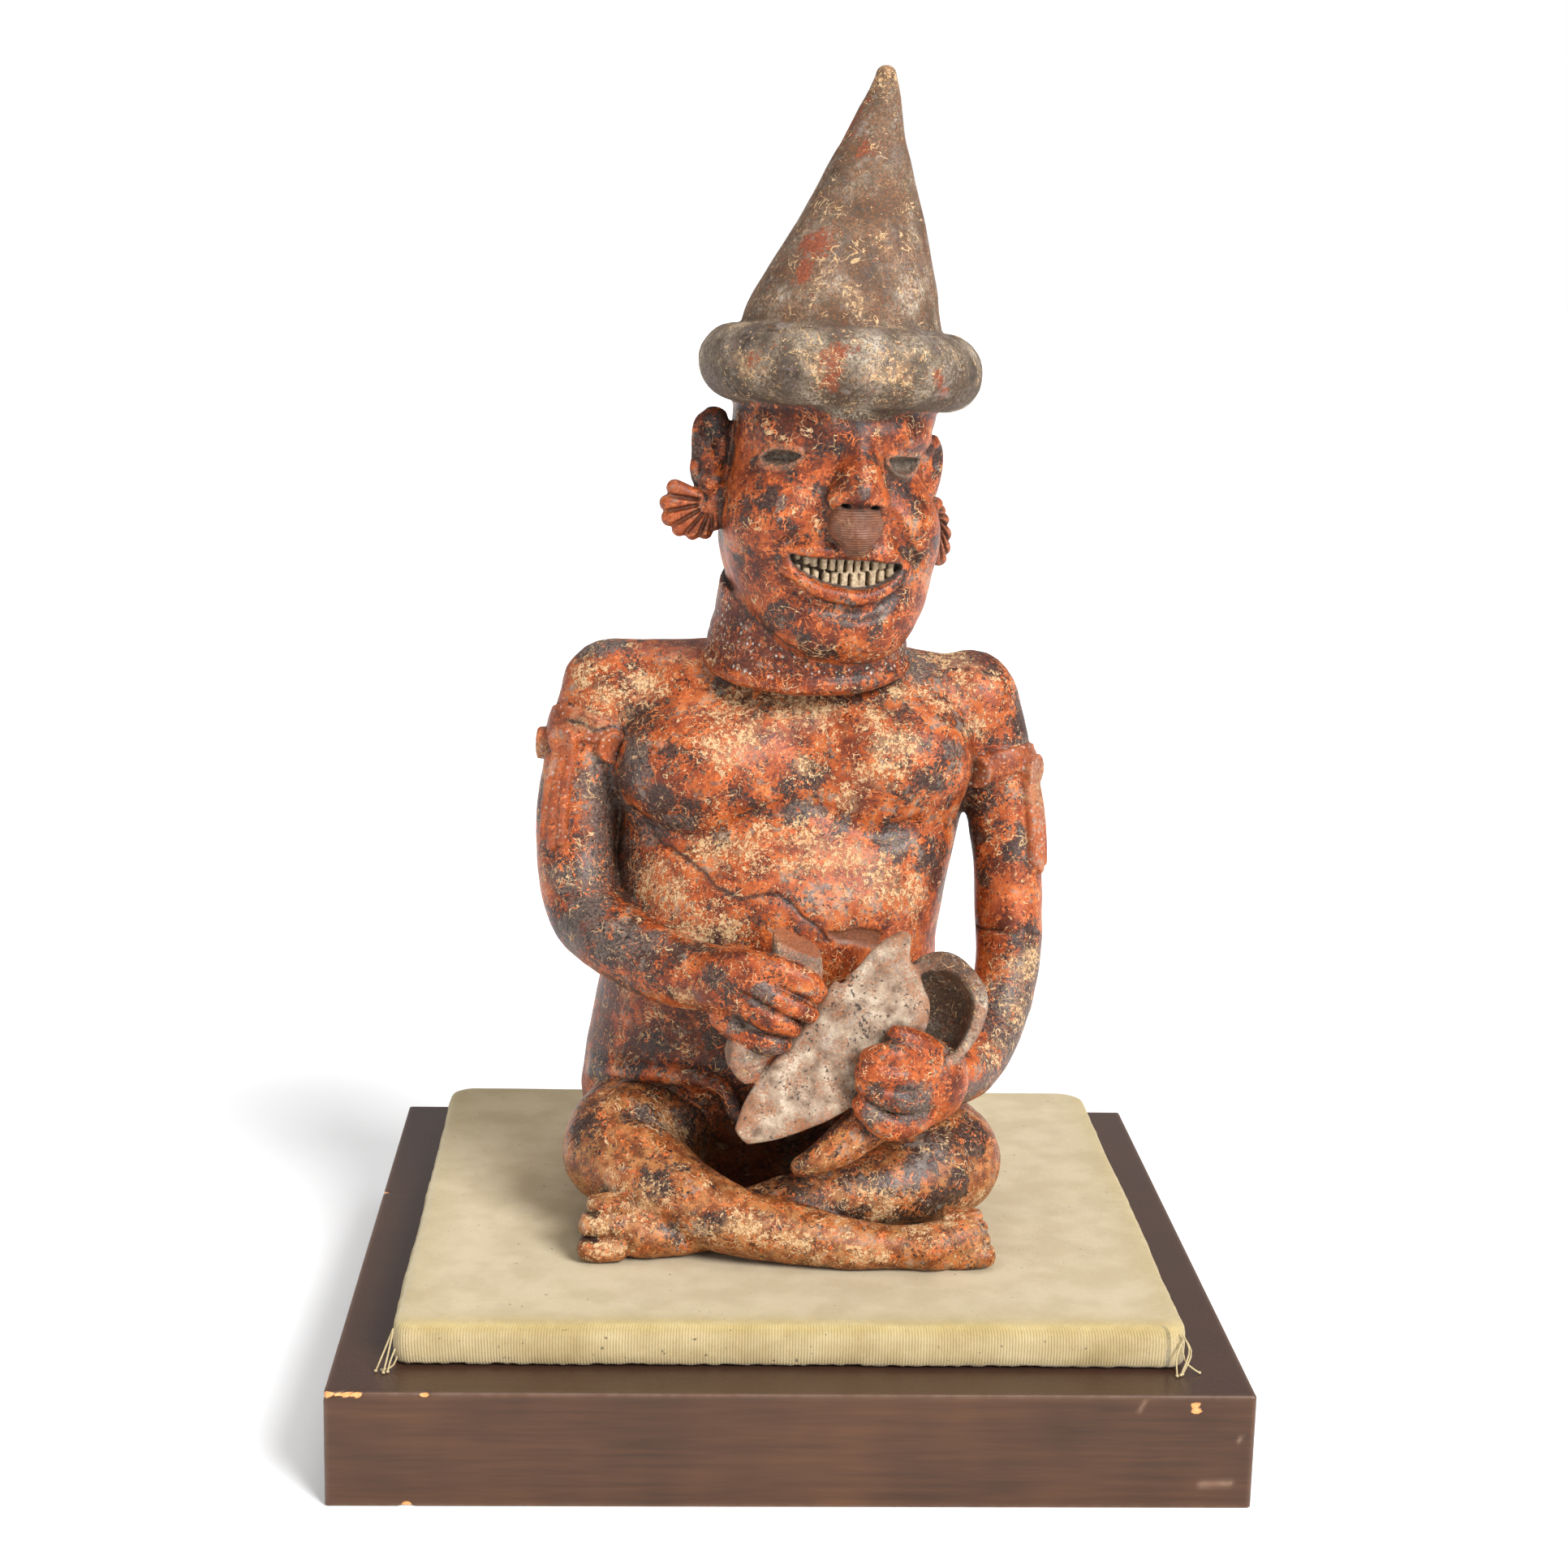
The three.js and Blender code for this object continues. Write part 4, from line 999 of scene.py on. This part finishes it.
def lacquered_plinth():
    bevel = [(0.9 * (1 - math.sin(t)), 0.9 * (1 - math.cos(t))) for t in np.linspace(0, math.pi / 2, 4)]
    walls = [(z, 0) for z in np.linspace(2, PLINTH_HEIGHT - 2, 30)]
    high = [(PLINTH_HEIGHT - up, inset) for up, inset in bevel]
    flat = [(PLINTH_HEIGHT, inset) for inset in (2.5, 5, 12)]
    profile = [(0, 30), (0, 2), *reversed(bevel), *walls, *high, *flat]
    around = 1100
    (points, faces), _ = box_skin(PLINTH_WIDTH, PLINTH_DEPTH, profile, (1.2,) * 4, around, 8)
    chip = np.zeros(len(points))
    for x, y, z, reach in CHIPS:
        away = np.linalg.norm((points - (x, y, z)) * (0.6, 1, 1), axis=1) / reach
        chip = np.maximum(chip, np.clip(1.3 - away + 0.35 * lumps(points, 1.3, 31), 0, 1))
    inward = -np.sign(points - (0, 0, PLINTH_HEIGHT / 2))
    points += inward * (0.45 * np.clip(chip * 3, 0, 1))[:, None]
    from_faces = np.stack([
        PLINTH_WIDTH / 2 - abs(points[:, 0]),
        PLINTH_DEPTH / 2 - abs(points[:, 1]),
        np.minimum(PLINTH_HEIGHT - points[:, 2], points[:, 2]),
    ], 1)
    from_edge = np.sort(from_faces, axis=1)[:, 1]
    scratch = np.zeros(len(points))
    for *ends, reach in SCRATCHES:
        start, way = np.array(ends[:3]), np.array(ends[3:]) - ends[:3]
        along = np.clip((points - start) @ way / (way @ way), 0, 1)
        off = np.linalg.norm(points - start - along[:, None] * way, axis=1)
        scratch = np.maximum(scratch, np.exp(-((off / reach) ** 2)))
    piece = mesh_object("lacquered_plinth", points / 1000, faces)
    mesh = piece.data
    set_amount(mesh, "chip", chip)
    set_amount(mesh, "lid", points[:, 2] > PLINTH_HEIGHT - 0.6)
    set_amount(mesh, "rub", np.maximum(np.exp(-from_edge / 0.8), scratch))
    mesh.materials.append(lacquered_wood())
    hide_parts("plinth")
    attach(piece, "root")


# Materials


def linear(colour):
    """An sRGB hex value as linear red, green and blue, with full alpha."""
    parts = [int(colour[i:i + 2], 16) / 255 for i in (1, 3, 5)]
    return (*[v / 12.92 if v <= 0.04045 else ((v + 0.055) / 1.055) ** 2.4 for v in parts], 1.0)


def add(tree, kind, inputs=(), **settings):
    """A node with its settings; each input is a value or the output that feeds it."""
    node = tree.nodes.new("ShaderNode" + kind)
    for name, value in settings.items():
        setattr(node, name, value)
    for name, value in dict(inputs).items():
        if isinstance(value, bpy.types.NodeSocket):
            tree.links.new(value, node.inputs[name])
        else:
            node.inputs[name].default_value = value
    return node


def new_material(name, amounts=()):
    """A new material, its tree and shader, the place in millimetres and the amounts that its mesh carries."""
    material = bpy.data.materials.new(name)
    material.use_nodes = True
    tree = material.node_tree
    place = add(tree, "TexCoord").outputs["Object"]
    mm = add(tree, "VectorMath", {0: place, "Scale": 1000.0}, operation="SCALE").outputs[0]
    known = {amount: add(tree, "Attribute", attribute_name=amount).outputs["Fac"] for amount in amounts}
    return material, tree, tree.nodes["Principled BSDF"], mm, known


def clumped(tree, mm, amount, grains, soft=0.1, low=0.0, high=1.0):
    """Where an amount, spread from low to high, and a few sizes of grain together pass one half.
    Each grain has its size in mm, its weight and its roughness."""
    total = amount
    if (low, high) != (0.0, 1.0):
        total = add(tree, "MapRange", {0: amount, 3: low, 4: high}).outputs[0]
    for size, weight, roughness in grains:
        grain = {"Vector": mm, "Scale": 1 / size, "Detail": 6.0, "Roughness": roughness}
        noise = add(tree, "TexNoise", grain).outputs[0]
        swing = add(tree, "Math", {0: noise, 1: 0.5}, operation="SUBTRACT").outputs[0]
        total = add(tree, "Math", {0: swing, 1: weight, 2: total}, operation="MULTIPLY_ADD").outputs[0]
    return add(tree, "MapRange", {0: total, 1: 0.5 - soft, 2: 0.5 + soft}).outputs[0]


def squiggles(tree, mm, size, width, share):
    """Root marks: thin winding lines, broken up so that only a share of them is left.
    They are drawn coarser than the real ones, which wouldn't show."""
    line = add(tree, "TexNoise", {"Vector": mm, "Scale": 1 / size, "Detail": 2.0, "Distortion": 0.8})
    off = add(tree, "Math", {0: line.outputs[0], 1: 0.5}, operation="SUBTRACT").outputs[0]
    off = add(tree, "Math", {0: off}, operation="ABSOLUTE").outputs[0]
    thin = add(tree, "MapRange", {0: off, 1: width, 2: width * 0.4, 3: 0.0, 4: 1.0}).outputs[0]
    kept = clumped(tree, mm, share, ((size * 1.6, 2.2, 0.6),), 0.06)
    return add(tree, "Math", {0: thin, 1: kept}, operation="MULTIPLY").outputs[0]


def laid(tree, mm, under, over, mask, cover=1.0, size=1.5):
    """A stain of two mingled colours over a colour, as far as its mask lets it show."""
    noise = add(tree, "TexNoise", {"Vector": mm, "Scale": 1 / size, "Detail": 3.0}).outputs[0]
    mingle = add(tree, "MapRange", {0: noise, 1: 0.4, 2: 0.6}).outputs[0]
    both = add(tree, "Mix", {0: mingle, 6: linear(over[0]), 7: linear(over[1])}, data_type="RGBA").outputs[2]
    if cover < 1:
        mask = add(tree, "Math", {0: mask, 1: cover}, operation="MULTIPLY").outputs[0]
    return add(tree, "Mix", {0: mask, 6: under, 7: both}, data_type="RGBA").outputs[2]


def ground(tree, mm, size, colours):
    """A mottled body colour: hex values spread over the heights of one noise."""
    noise = add(tree, "TexNoise", {"Vector": mm, "Scale": 1 / size, "Detail": 8.0, "Roughness": 0.62})
    ramp = add(tree, "ValToRGB", {0: noise.outputs[0]})
    stops = ramp.color_ramp.elements
    while len(stops) < len(colours):
        stops.new(0.5)
    for i, colour in enumerate(colours):
        stops[i].position = 0.34 + 0.32 * i / (len(colours) - 1)
        stops[i].color = linear(colour)
    return ramp.outputs[0]


def red_slip(tree, mm, known, open_skin, ridges):
    """Iron-red slip with fire clouds, worn orange on edges, and browned, blackened and greyed by burial and
    by painted shade.
    """
    skin = ground(tree, mm, 16, ("#4e1d0e", "#753114", "#96431b", "#ad5624", "#c4773f"))
    skin = laid(tree, mm, skin, ("#67401f", "#b3824d"), known["worn_leg"], 0.6, 6)
    skin = laid(tree, mm, skin, ("#35160e", "#642a19"), known["brown"], 0.86, 2)
    mottled = clumped(tree, mm, 0.33, ((11, 1.8, 0.65), (3, 2.2, 0.6)))
    skin = laid(tree, mm, skin, ("#38180f", "#5c2614"), mottled, 0.75)
    fresh = clumped(tree, mm, known["edge"], ((7, 1.9, 0.65), (1.8, 1.8, 0.6)), 0.08, 0.26, 0.5)
    skin = laid(tree, mm, skin, ("#c45822", "#d27c45"), fresh, 0.7)
    # Brown stains, with painted shade on the forehead and under the brim
    umber_and_shade = clumped(tree, mm, known["umber_and_shade"], ((10, 1.4, 0.6), (2.2, 1.7, 0.6)), 0.2, -0.2, 0.95)
    skin = laid(tree, mm, skin, ("#260f08", "#4d200f"), umber_and_shade, 0.88)
    # Black stains, with painted shade along the chest fold, under the right arm, in the lap and where the
    # skin is enclosed
    grains = ((24, 1.6, 0.5), (9, 2.3, 0.65), (1.9, 1.6, 0.6))
    black = clumped(tree, mm, known["soot_and_shade"], grains, 0.1, 0.14, 0.95)
    black = add(tree, "Math", {0: black, 1: open_skin}, operation="MULTIPLY").outputs[0]
    skin = laid(tree, mm, skin, ("#1d1414", "#42332d"), black, 0.92)
    # Grey clouds, with painted shade along the chest fold
    smoke_and_shade = clumped(tree, mm, known["smoke_and_shade"], ((11, 1.2, 0.6), (2.0, 1.4, 0.6)), 0.15, -0.25, 1.05)
    smoke_and_shade = add(tree, "Math", {0: smoke_and_shade, 1: open_skin}, operation="MULTIPLY").outputs[0]
    skin = laid(tree, mm, skin, ("#41352f", "#665750"), smoke_and_shade, 0.9)
    speckled = clumped(tree, mm, 0.12, ((1.7, 2.9, 0.5), (14, 1.0, 0.5)), 0.04)
    skin = laid(tree, mm, skin, ("#140f0e", "#2b201c"), speckled, 0.9)
    skin = laid(tree, mm, skin, ("#7d3d24", "#9c5333"), known["trim"], 0.4, 3)
    roots = squiggles(tree, mm, 6, 0.024, 0.44)
    skin = laid(tree, mm, skin, ("#c45a26", "#d68048"), roots, 0.85)
    skin = laid(tree, mm, skin, ("#85604c", "#6e4836"), known["ridged"], 0.75, 3)
    return laid(tree, mm, skin, ("#3a2a22", "#4a362b"), ridges, 0.5)


def smoked_hat(tree, mm, known):
    """Slip turned grey in a smoky kiln, rubbed warmer up the cone, with brown patches and painted shade under
    the brim.
    """
    grey = ground(tree, mm, 24, ("#3a3028", "#5c4f43", "#7c6d5c", "#9d8e7b", "#c8bba8"))
    mauve = clumped(tree, mm, 0.3, ((28, 1.8, 0.5), (5, 1.6, 0.6)), 0.15)
    dusky = clumped(tree, mm, 0.34, ((18, 1.3, 0.6), (1.5, 2.6, 0.6)), 0.12)
    # Brown patches, and painted shade on the brim's underside
    stained_and_shaded = clumped(tree, mm, known["umber_and_shade"], ((12, 1.4, 0.6), (1.8, 3.2, 0.6)), 0.12)
    warm = clumped(tree, mm, known["cone"], ((11, 1.5, 0.6), (2.0, 1.8, 0.6)), 0.25, 0.0, 0.62)
    grained = clumped(tree, mm, 0.42, ((1.3, 3.2, 0.6), (7, 1.4, 0.6)), 0.08)
    rust = clumped(tree, mm, known["rust"], ((7, 2.0, 0.6), (1.7, 1.6, 0.5)), 0.16)
    for over, mask, cover in (
        (("#665955", "#80736e"), mauve, 0.7),
        (("#362a20", "#4d3f30"), dusky, 0.75),
        (("#3d2c1e", "#5c4530"), stained_and_shaded, 0.85),
        (("#8a5a38", "#5f402d"), warm, 0.66),
        (("#3a2f26", "#5a4b3c"), grained, 0.62),
        (("#94492a", "#743a27"), rust, 0.85),
    ):
        grey = laid(tree, mm, grey, over, mask, cover)
    return grey


def pale_plate(tree, mm, known):
    """Bare pale clay on the drum's plate, rusty towards its edges and pitted black."""
    white = ground(tree, mm, 8, ("#6a5444", "#8f7865", "#ab9781", "#c9b9a4"))
    worn = add(tree, "MapRange", {0: known["edge"], 3: 0.3, 4: 0.85}).outputs[0]
    worn = add(tree, "Math", {0: worn, 1: known["rust"]}, operation="MAXIMUM").outputs[0]
    rusty = clumped(tree, mm, worn, ((14, 1.8, 0.5), (4, 1.6, 0.6), (1.3, 2.2, 0.6)), 0.15)
    white = laid(tree, mm, white, ("#96572f", "#7d4f35"), rusty, 0.7)
    pitted = clumped(tree, mm, -0.02, ((1.8, 3.0, 0.4), (12, 1.6, 0.5)), 0.06)
    return laid(tree, mm, white, ("#2f2926", "#4a403a"), pitted, 0.9)


def limed(tree, mm, colour, known, open_skin):
    """Lime from the soil over a colour, and where its crust lies: a thin wash, crumbs and root marks."""
    amount = add(tree, "Math", {0: known["lime"], 1: 0.58, 2: -0.06}, operation="MULTIPLY_ADD").outputs[0]
    washed = clumped(tree, mm, amount, ((12, 1.6, 0.6), (3, 1.4, 0.6)), 0.3)
    crusted = clumped(tree, mm, amount, ((10, 1.4, 0.6), (2.6, 2.8, 0.6), (0.9, 2.0, 0.5)), 0.08)
    roots = squiggles(tree, mm, 8, 0.02, 0.4)
    crusted = add(tree, "Math", {0: crusted, 1: roots}, operation="MAXIMUM").outputs[0]
    washed, crusted = (
        add(tree, "Math", {0: lime, 1: known["pale"]}, operation="SUBTRACT", use_clamp=True).outputs[0]
        for lime in (washed, crusted)
    )
    crusted = add(tree, "Math", {0: crusted, 1: open_skin}, operation="MULTIPLY").outputs[0]
    colour = laid(tree, mm, colour, ("#c79a70", "#b07c55"), washed, 0.45)
    return laid(tree, mm, colour, ("#d6b68c", "#bb9062"), crusted, 0.85), crusted


def shaded(tree, mm, colour, known):
    """Painted shade in creases, hollows and the lap, and grime in the mouth and eyes, round the lids and down
    the cracks.
    """
    # Painted shade: darker in creases, hollows and the lap
    painted_shade = add(tree, "MapRange", {0: known["hollow"], 1: 0.1, 2: 0.75, 3: 0.0, 4: 0.8}).outputs[0]
    for over, mask, cover in (
        (("#261a15", "#3b2921"), painted_shade, 0.88),
        (("#665b53", "#3b332e"), known["pit"], 0.9),
        (("#a98c70", "#8f6a50"), known["lid"], 0.25),
        (("#786a5c", "#4a3f36"), known["eye"], 0.9),
        (("#231814", "#33231c"), known["crack"], 0.8),
    ):
        colour = laid(tree, mm, colour, over, mask, cover)
    return colour


def white_dots(tree, mm, colour, known):
    """White dots 3.8 mm apart on the choker and the armbands, partly worn away."""
    place = add(tree, "Attribute", attribute_name="rows").outputs["Vector"]
    cells = {"Vector": place, "Scale": 1 / 3.8, "Randomness": 0.45}
    away = add(tree, "TexVoronoi", cells).outputs["Distance"]
    dots = add(tree, "MapRange", {0: away, 1: 0.26, 2: 0.17}).outputs[0]
    for mask in (known["studded"], clumped(tree, mm, 0.62, ((12, 2.4, 0.5),))):
        dots = add(tree, "Math", {0: dots, 1: mask}, operation="MULTIPLY").outputs[0]
    return laid(tree, mm, colour, ("#cfc6ba", "#a3978b"), dots, 0.8)


def burnished_slip(amounts):
    """Low-fired earthenware under red slip rubbed smooth with a stone, so it has a satin sheen and no glaze.
    Burial left black manganese, pale lime in fine clumps and the winding marks of roots, all of them dull.
    Painted shade darkens its creases, its hollows, its lap and the forehead under the brim.
    Specks and crumbs are drawn 1 to 2 mm wide: the real ones are finer, and wouldn't show."""
    material, tree, shader, mm, known = new_material("burnished_slip", amounts)
    applied = add(tree, "Math", {0: known["trim"], 1: known["ridged"]}, operation="MAXIMUM").outputs[0]
    open_skin = add(tree, "MapRange", {0: applied, 3: 1.0, 4: 0.25}).outputs[0]
    combed = {"Vector": mm, "Scale": 0.24, "Distortion": 1.5, "Detail": 2.0}
    ridges = add(tree, "TexWave", combed, bands_direction="Z").outputs["Fac"]
    ridges = add(tree, "Math", {0: ridges, 1: known["ridged"]}, operation="MULTIPLY").outputs[0]

    colour = red_slip(tree, mm, known, open_skin, ridges)
    grey, white = smoked_hat(tree, mm, known), pale_plate(tree, mm, known)
    for mask, other in ((known["ash"], grey), (known["pale"], white)):
        colour = add(tree, "Mix", {0: mask, 6: colour, 7: other}, data_type="RGBA").outputs[2]
    colour = laid(tree, mm, colour, ("#cbb797", "#a18d72"), known["tooth"], 0.85)
    colour, crusted = limed(tree, mm, colour, known, open_skin)
    bloom = clumped(tree, mm, 0.18, ((16, 1.9, 0.5), (3, 1.6, 0.6)))
    colour = laid(tree, mm, colour, ("#a2978d", "#7d7269"), bloom, 0.45)
    colour = laid(tree, mm, colour, ("#925a3c", "#794832"), known["bare"], 0.9)
    colour = shaded(tree, mm, colour, known)
    colour = white_dots(tree, mm, colour, known)
    tree.links.new(colour, shader.inputs["Base Color"])

    dull = crusted
    for name in ("ash", "pit"):
        dull = add(tree, "Math", {0: dull, 1: known[name]}, operation="MAXIMUM").outputs[0]
    rough = add(tree, "MapRange", {0: dull, 3: 0.4, 4: 0.82}).outputs[0]
    tree.links.new(rough, shader.inputs["Roughness"])
    shader.inputs["Specular IOR Level"].default_value = 0.32
    gritty = {"Vector": mm, "Scale": 1 / 1.3, "Detail": 5.0, "Roughness": 0.6}
    grit = add(tree, "TexNoise", gritty).outputs[0]
    height = add(tree, "Math", {0: crusted, 1: 0.5, 2: grit}, operation="MULTIPLY_ADD").outputs[0]
    height = add(tree, "Math", {0: ridges, 1: -1.2, 2: height}, operation="MULTIPLY_ADD").outputs[0]
    bump = add(tree, "Bump", {"Height": height, "Strength": 0.55, "Distance": 0.0005})
    tree.links.new(bump.outputs[0], shader.inputs["Normal"])
    return material


PILE_ROW = 1.5


def cotton_velvet():
    """Cotton velvet, woven with its pile in rows and worn flat and pale on top: dull, with a soft edge glow.
    Its fuzz is drawn 0.7 mm wide: the real fibres are finer, and wouldn't show."""
    material, tree, shader, mm, known = new_material("cotton_velvet", ("top", "along", "olive"))
    colour = ground(tree, mm, 40, ("#a08b5f", "#b5a075", "#c8b58b"))
    worn = clumped(tree, mm, known["top"], ((60, 0.7, 0.5), (3, 0.4, 0.5)), 0.25)
    colour = laid(tree, mm, colour, ("#bfae8e", "#b19f7d"), worn, 0.85, 22)
    colour = laid(tree, mm, colour, ("#a08a45", "#93803f"), known["olive"], 0.5, 4)
    per_mm = 2 * math.pi / PILE_ROW
    turn = add(tree, "Math", {0: known["along"], 1: per_mm}, operation="MULTIPLY").outputs[0]
    wave = add(tree, "Math", {0: turn}, operation="SINE").outputs[0]
    rows = add(tree, "MapRange", {0: wave, 1: -1.0, 2: 1.0, 3: 0.0, 4: 1.0}).outputs[0]
    side = add(tree, "MapRange", {0: known["top"], 3: 1.0, 4: 0.0}).outputs[0]
    rows = add(tree, "Math", {0: rows, 1: side}, operation="MULTIPLY").outputs[0]
    colour = laid(tree, mm, colour, ("#a8925c", "#b5a26e"), rows, 0.35)
    stained = clumped(tree, mm, 0.16, ((26, 2.0, 0.5), (5, 0.6, 0.5)), 0.15)
    colour = laid(tree, mm, colour, ("#b3a27a", "#a8966a"), stained, 0.5)
    flecks = clumped(tree, mm, -0.34, ((3, 3.6, 0.4),), 0.02)
    colour = laid(tree, mm, colour, ("#6a5b3e", "#4f4636"), flecks, 0.8)
    tree.links.new(colour, shader.inputs["Base Color"])
    for name, value in (("Roughness", 0.95), ("Sheen Weight", 0.35), ("Sheen Roughness", 0.45)):
        shader.inputs[name].default_value = value
    fuzz = add(tree, "TexNoise", {"Vector": mm, "Scale": 1 / 0.7, "Detail": 3.0}).outputs[0]
    height = add(tree, "Math", {0: rows, 1: 0.8, 2: fuzz}, operation="MULTIPLY_ADD").outputs[0]
    bump = add(tree, "Bump", {"Height": height, "Strength": 0.7, "Distance": 0.0005})
    tree.links.new(bump.outputs[0], shader.inputs["Normal"])
    return material


def lacquered_wood():
    """Hardwood stained dark, sanded and lacquered: a clear coat gives sharp reflections over a level grain.
    The grain is drawn 3 mm wide and 60 mm long: the real pores are finer, and wouldn't show."""
    material, tree, shader, mm, known = new_material("lacquered_wood", ("lid", "rub", "chip"))
    wide, long = 1 / 3, 1 / 60
    wall = add(tree, "VectorMath", {0: mm, 1: (long, long, wide)}, operation="MULTIPLY").outputs[0]
    over = add(tree, "VectorMath", {0: mm, 1: (long, wide, long)}, operation="MULTIPLY").outputs[0]
    way = add(tree, "Mix", {0: known["lid"], 4: wall, 5: over}, data_type="VECTOR").outputs[1]
    grain = add(tree, "TexNoise", {"Vector": way, "Scale": 1.0, "Detail": 5.0, "Roughness": 0.6}).outputs[0]
    cloud = add(tree, "TexNoise", {"Vector": mm, "Scale": 1 / 55, "Detail": 2.0}).outputs[0]
    tone = add(tree, "Math", {0: cloud, 1: 0.9, 2: grain}, operation="MULTIPLY_ADD").outputs[0]
    tone = add(tree, "MapRange", {0: tone, 1: 0.45, 2: 1.45}).outputs[0]
    stain = {0: tone, 6: linear("#2c180b"), 7: linear("#593820")}
    colour = add(tree, "Mix", stain, data_type="RGBA").outputs[2]
    colour = laid(tree, mm, colour, ("#3a2922", "#453129"), known["lid"], 0.75)
    colour = laid(tree, mm, colour, ("#8a6a55", "#9a7d69"), known["rub"], 0.55, 8)
    chipped = clumped(tree, mm, known["chip"], ((2, 0.4, 0.5),))
    colour = laid(tree, mm, colour, ("#d98d50", "#e9a86e"), chipped)
    tree.links.new(colour, shader.inputs["Base Color"])
    rough = add(tree, "MapRange", {0: chipped, 3: 0.3, 4: 0.8}).outputs[0]
    tree.links.new(rough, shader.inputs["Roughness"])
    for name, value in (("Coat Weight", 0.2), ("Specular IOR Level", 0.3), ("Coat Roughness", 0.09)):
        shader.inputs[name].default_value = value
    bump = add(tree, "Bump", {"Height": grain, "Strength": 0.12, "Distance": 0.0002})
    tree.links.new(bump.outputs[0], shader.inputs["Normal"])
    return material


def paper():
    """Matt white background paper, which gives only a soft shadow."""
    material, tree, shader, mm, _ = new_material("paper")
    tree.links.new(ground(tree, mm, 300, ("#fafafa", "#ffffff")), shader.inputs["Base Color"])
    shader.inputs["Roughness"].default_value = 0.9
    return material


# The photograph's camera, fitted to the plinth's corners
PHOTO_WIDTH, FOCAL_PIXELS = 1932, 3303.7
YAW, PITCH, ROLL = (radians(v) for v in (2.435, 11.990, 1.279))
CAMERA_PLACE = (-63.5, -1440.7, 627.6)


def camera():
    ahead = Vector((math.sin(YAW) * math.cos(PITCH), math.cos(YAW) * math.cos(PITCH), -math.sin(PITCH)))
    level = Vector((math.cos(YAW), -math.sin(YAW), 0))
    upright = level.cross(ahead)
    right = math.cos(ROLL) * level + math.sin(ROLL) * upright
    up = -math.sin(ROLL) * level + math.cos(ROLL) * upright
    data = bpy.data.cameras.new("camera")
    data.sensor_width = 36
    data.lens = data.sensor_width * FOCAL_PIXELS / PHOTO_WIDTH
    eye = bpy.data.objects.new("camera", data)
    place = Matrix((right, up, -ahead)).transposed().to_4x4()
    place.translation = Vector(CAMERA_PLACE) / 1000
    eye.matrix_world = place
    bpy.context.scene.collection.objects.link(eye)
    bpy.context.scene.camera = eye


def studio():
    """A white paper floor under a white sky, with a soft key light at the front right and a weak fill."""
    bpy.ops.mesh.primitive_plane_add(size=40)
    floor = bpy.context.object
    floor.name = "floor"
    floor.data.materials.append(paper())
    world = bpy.data.worlds.new("world")
    bpy.context.scene.world = world
    world.use_nodes = True
    sky = world.node_tree
    seen = add(sky, "LightPath").outputs["Is Camera Ray"]
    glow = add(sky, "MapRange", {0: seen, 3: 0.33, 4: 1.0}).outputs[0]
    sky.nodes["Background"].inputs["Color"].default_value = (1, 1, 1, 1)
    sky.links.new(glow, sky.nodes["Background"].inputs["Strength"])
    bpy.context.scene.view_settings.view_transform = "Standard"
    for name, at, soft, power in (
        ("key", (1.0, -1.25, 1.15), 26, 4.5),
        ("fill", (-1.4, -1.0, 0.7), 60, 0.7),
        ("top", (0.1, 0.4, 1.5), 50, 1.1),
    ):
        lamp = bpy.data.lights.new(name, "SUN")
        lamp.angle = radians(soft)
        lamp.energy = power
        holder = bpy.data.objects.new(name, lamp)
        holder.rotation_euler = Vector(at).to_track_quat("Z", "Y").to_euler()
        bpy.context.scene.collection.objects.link(holder)


camera()
figure_piece()
velvet_pad()
lacquered_plinth()
studio()
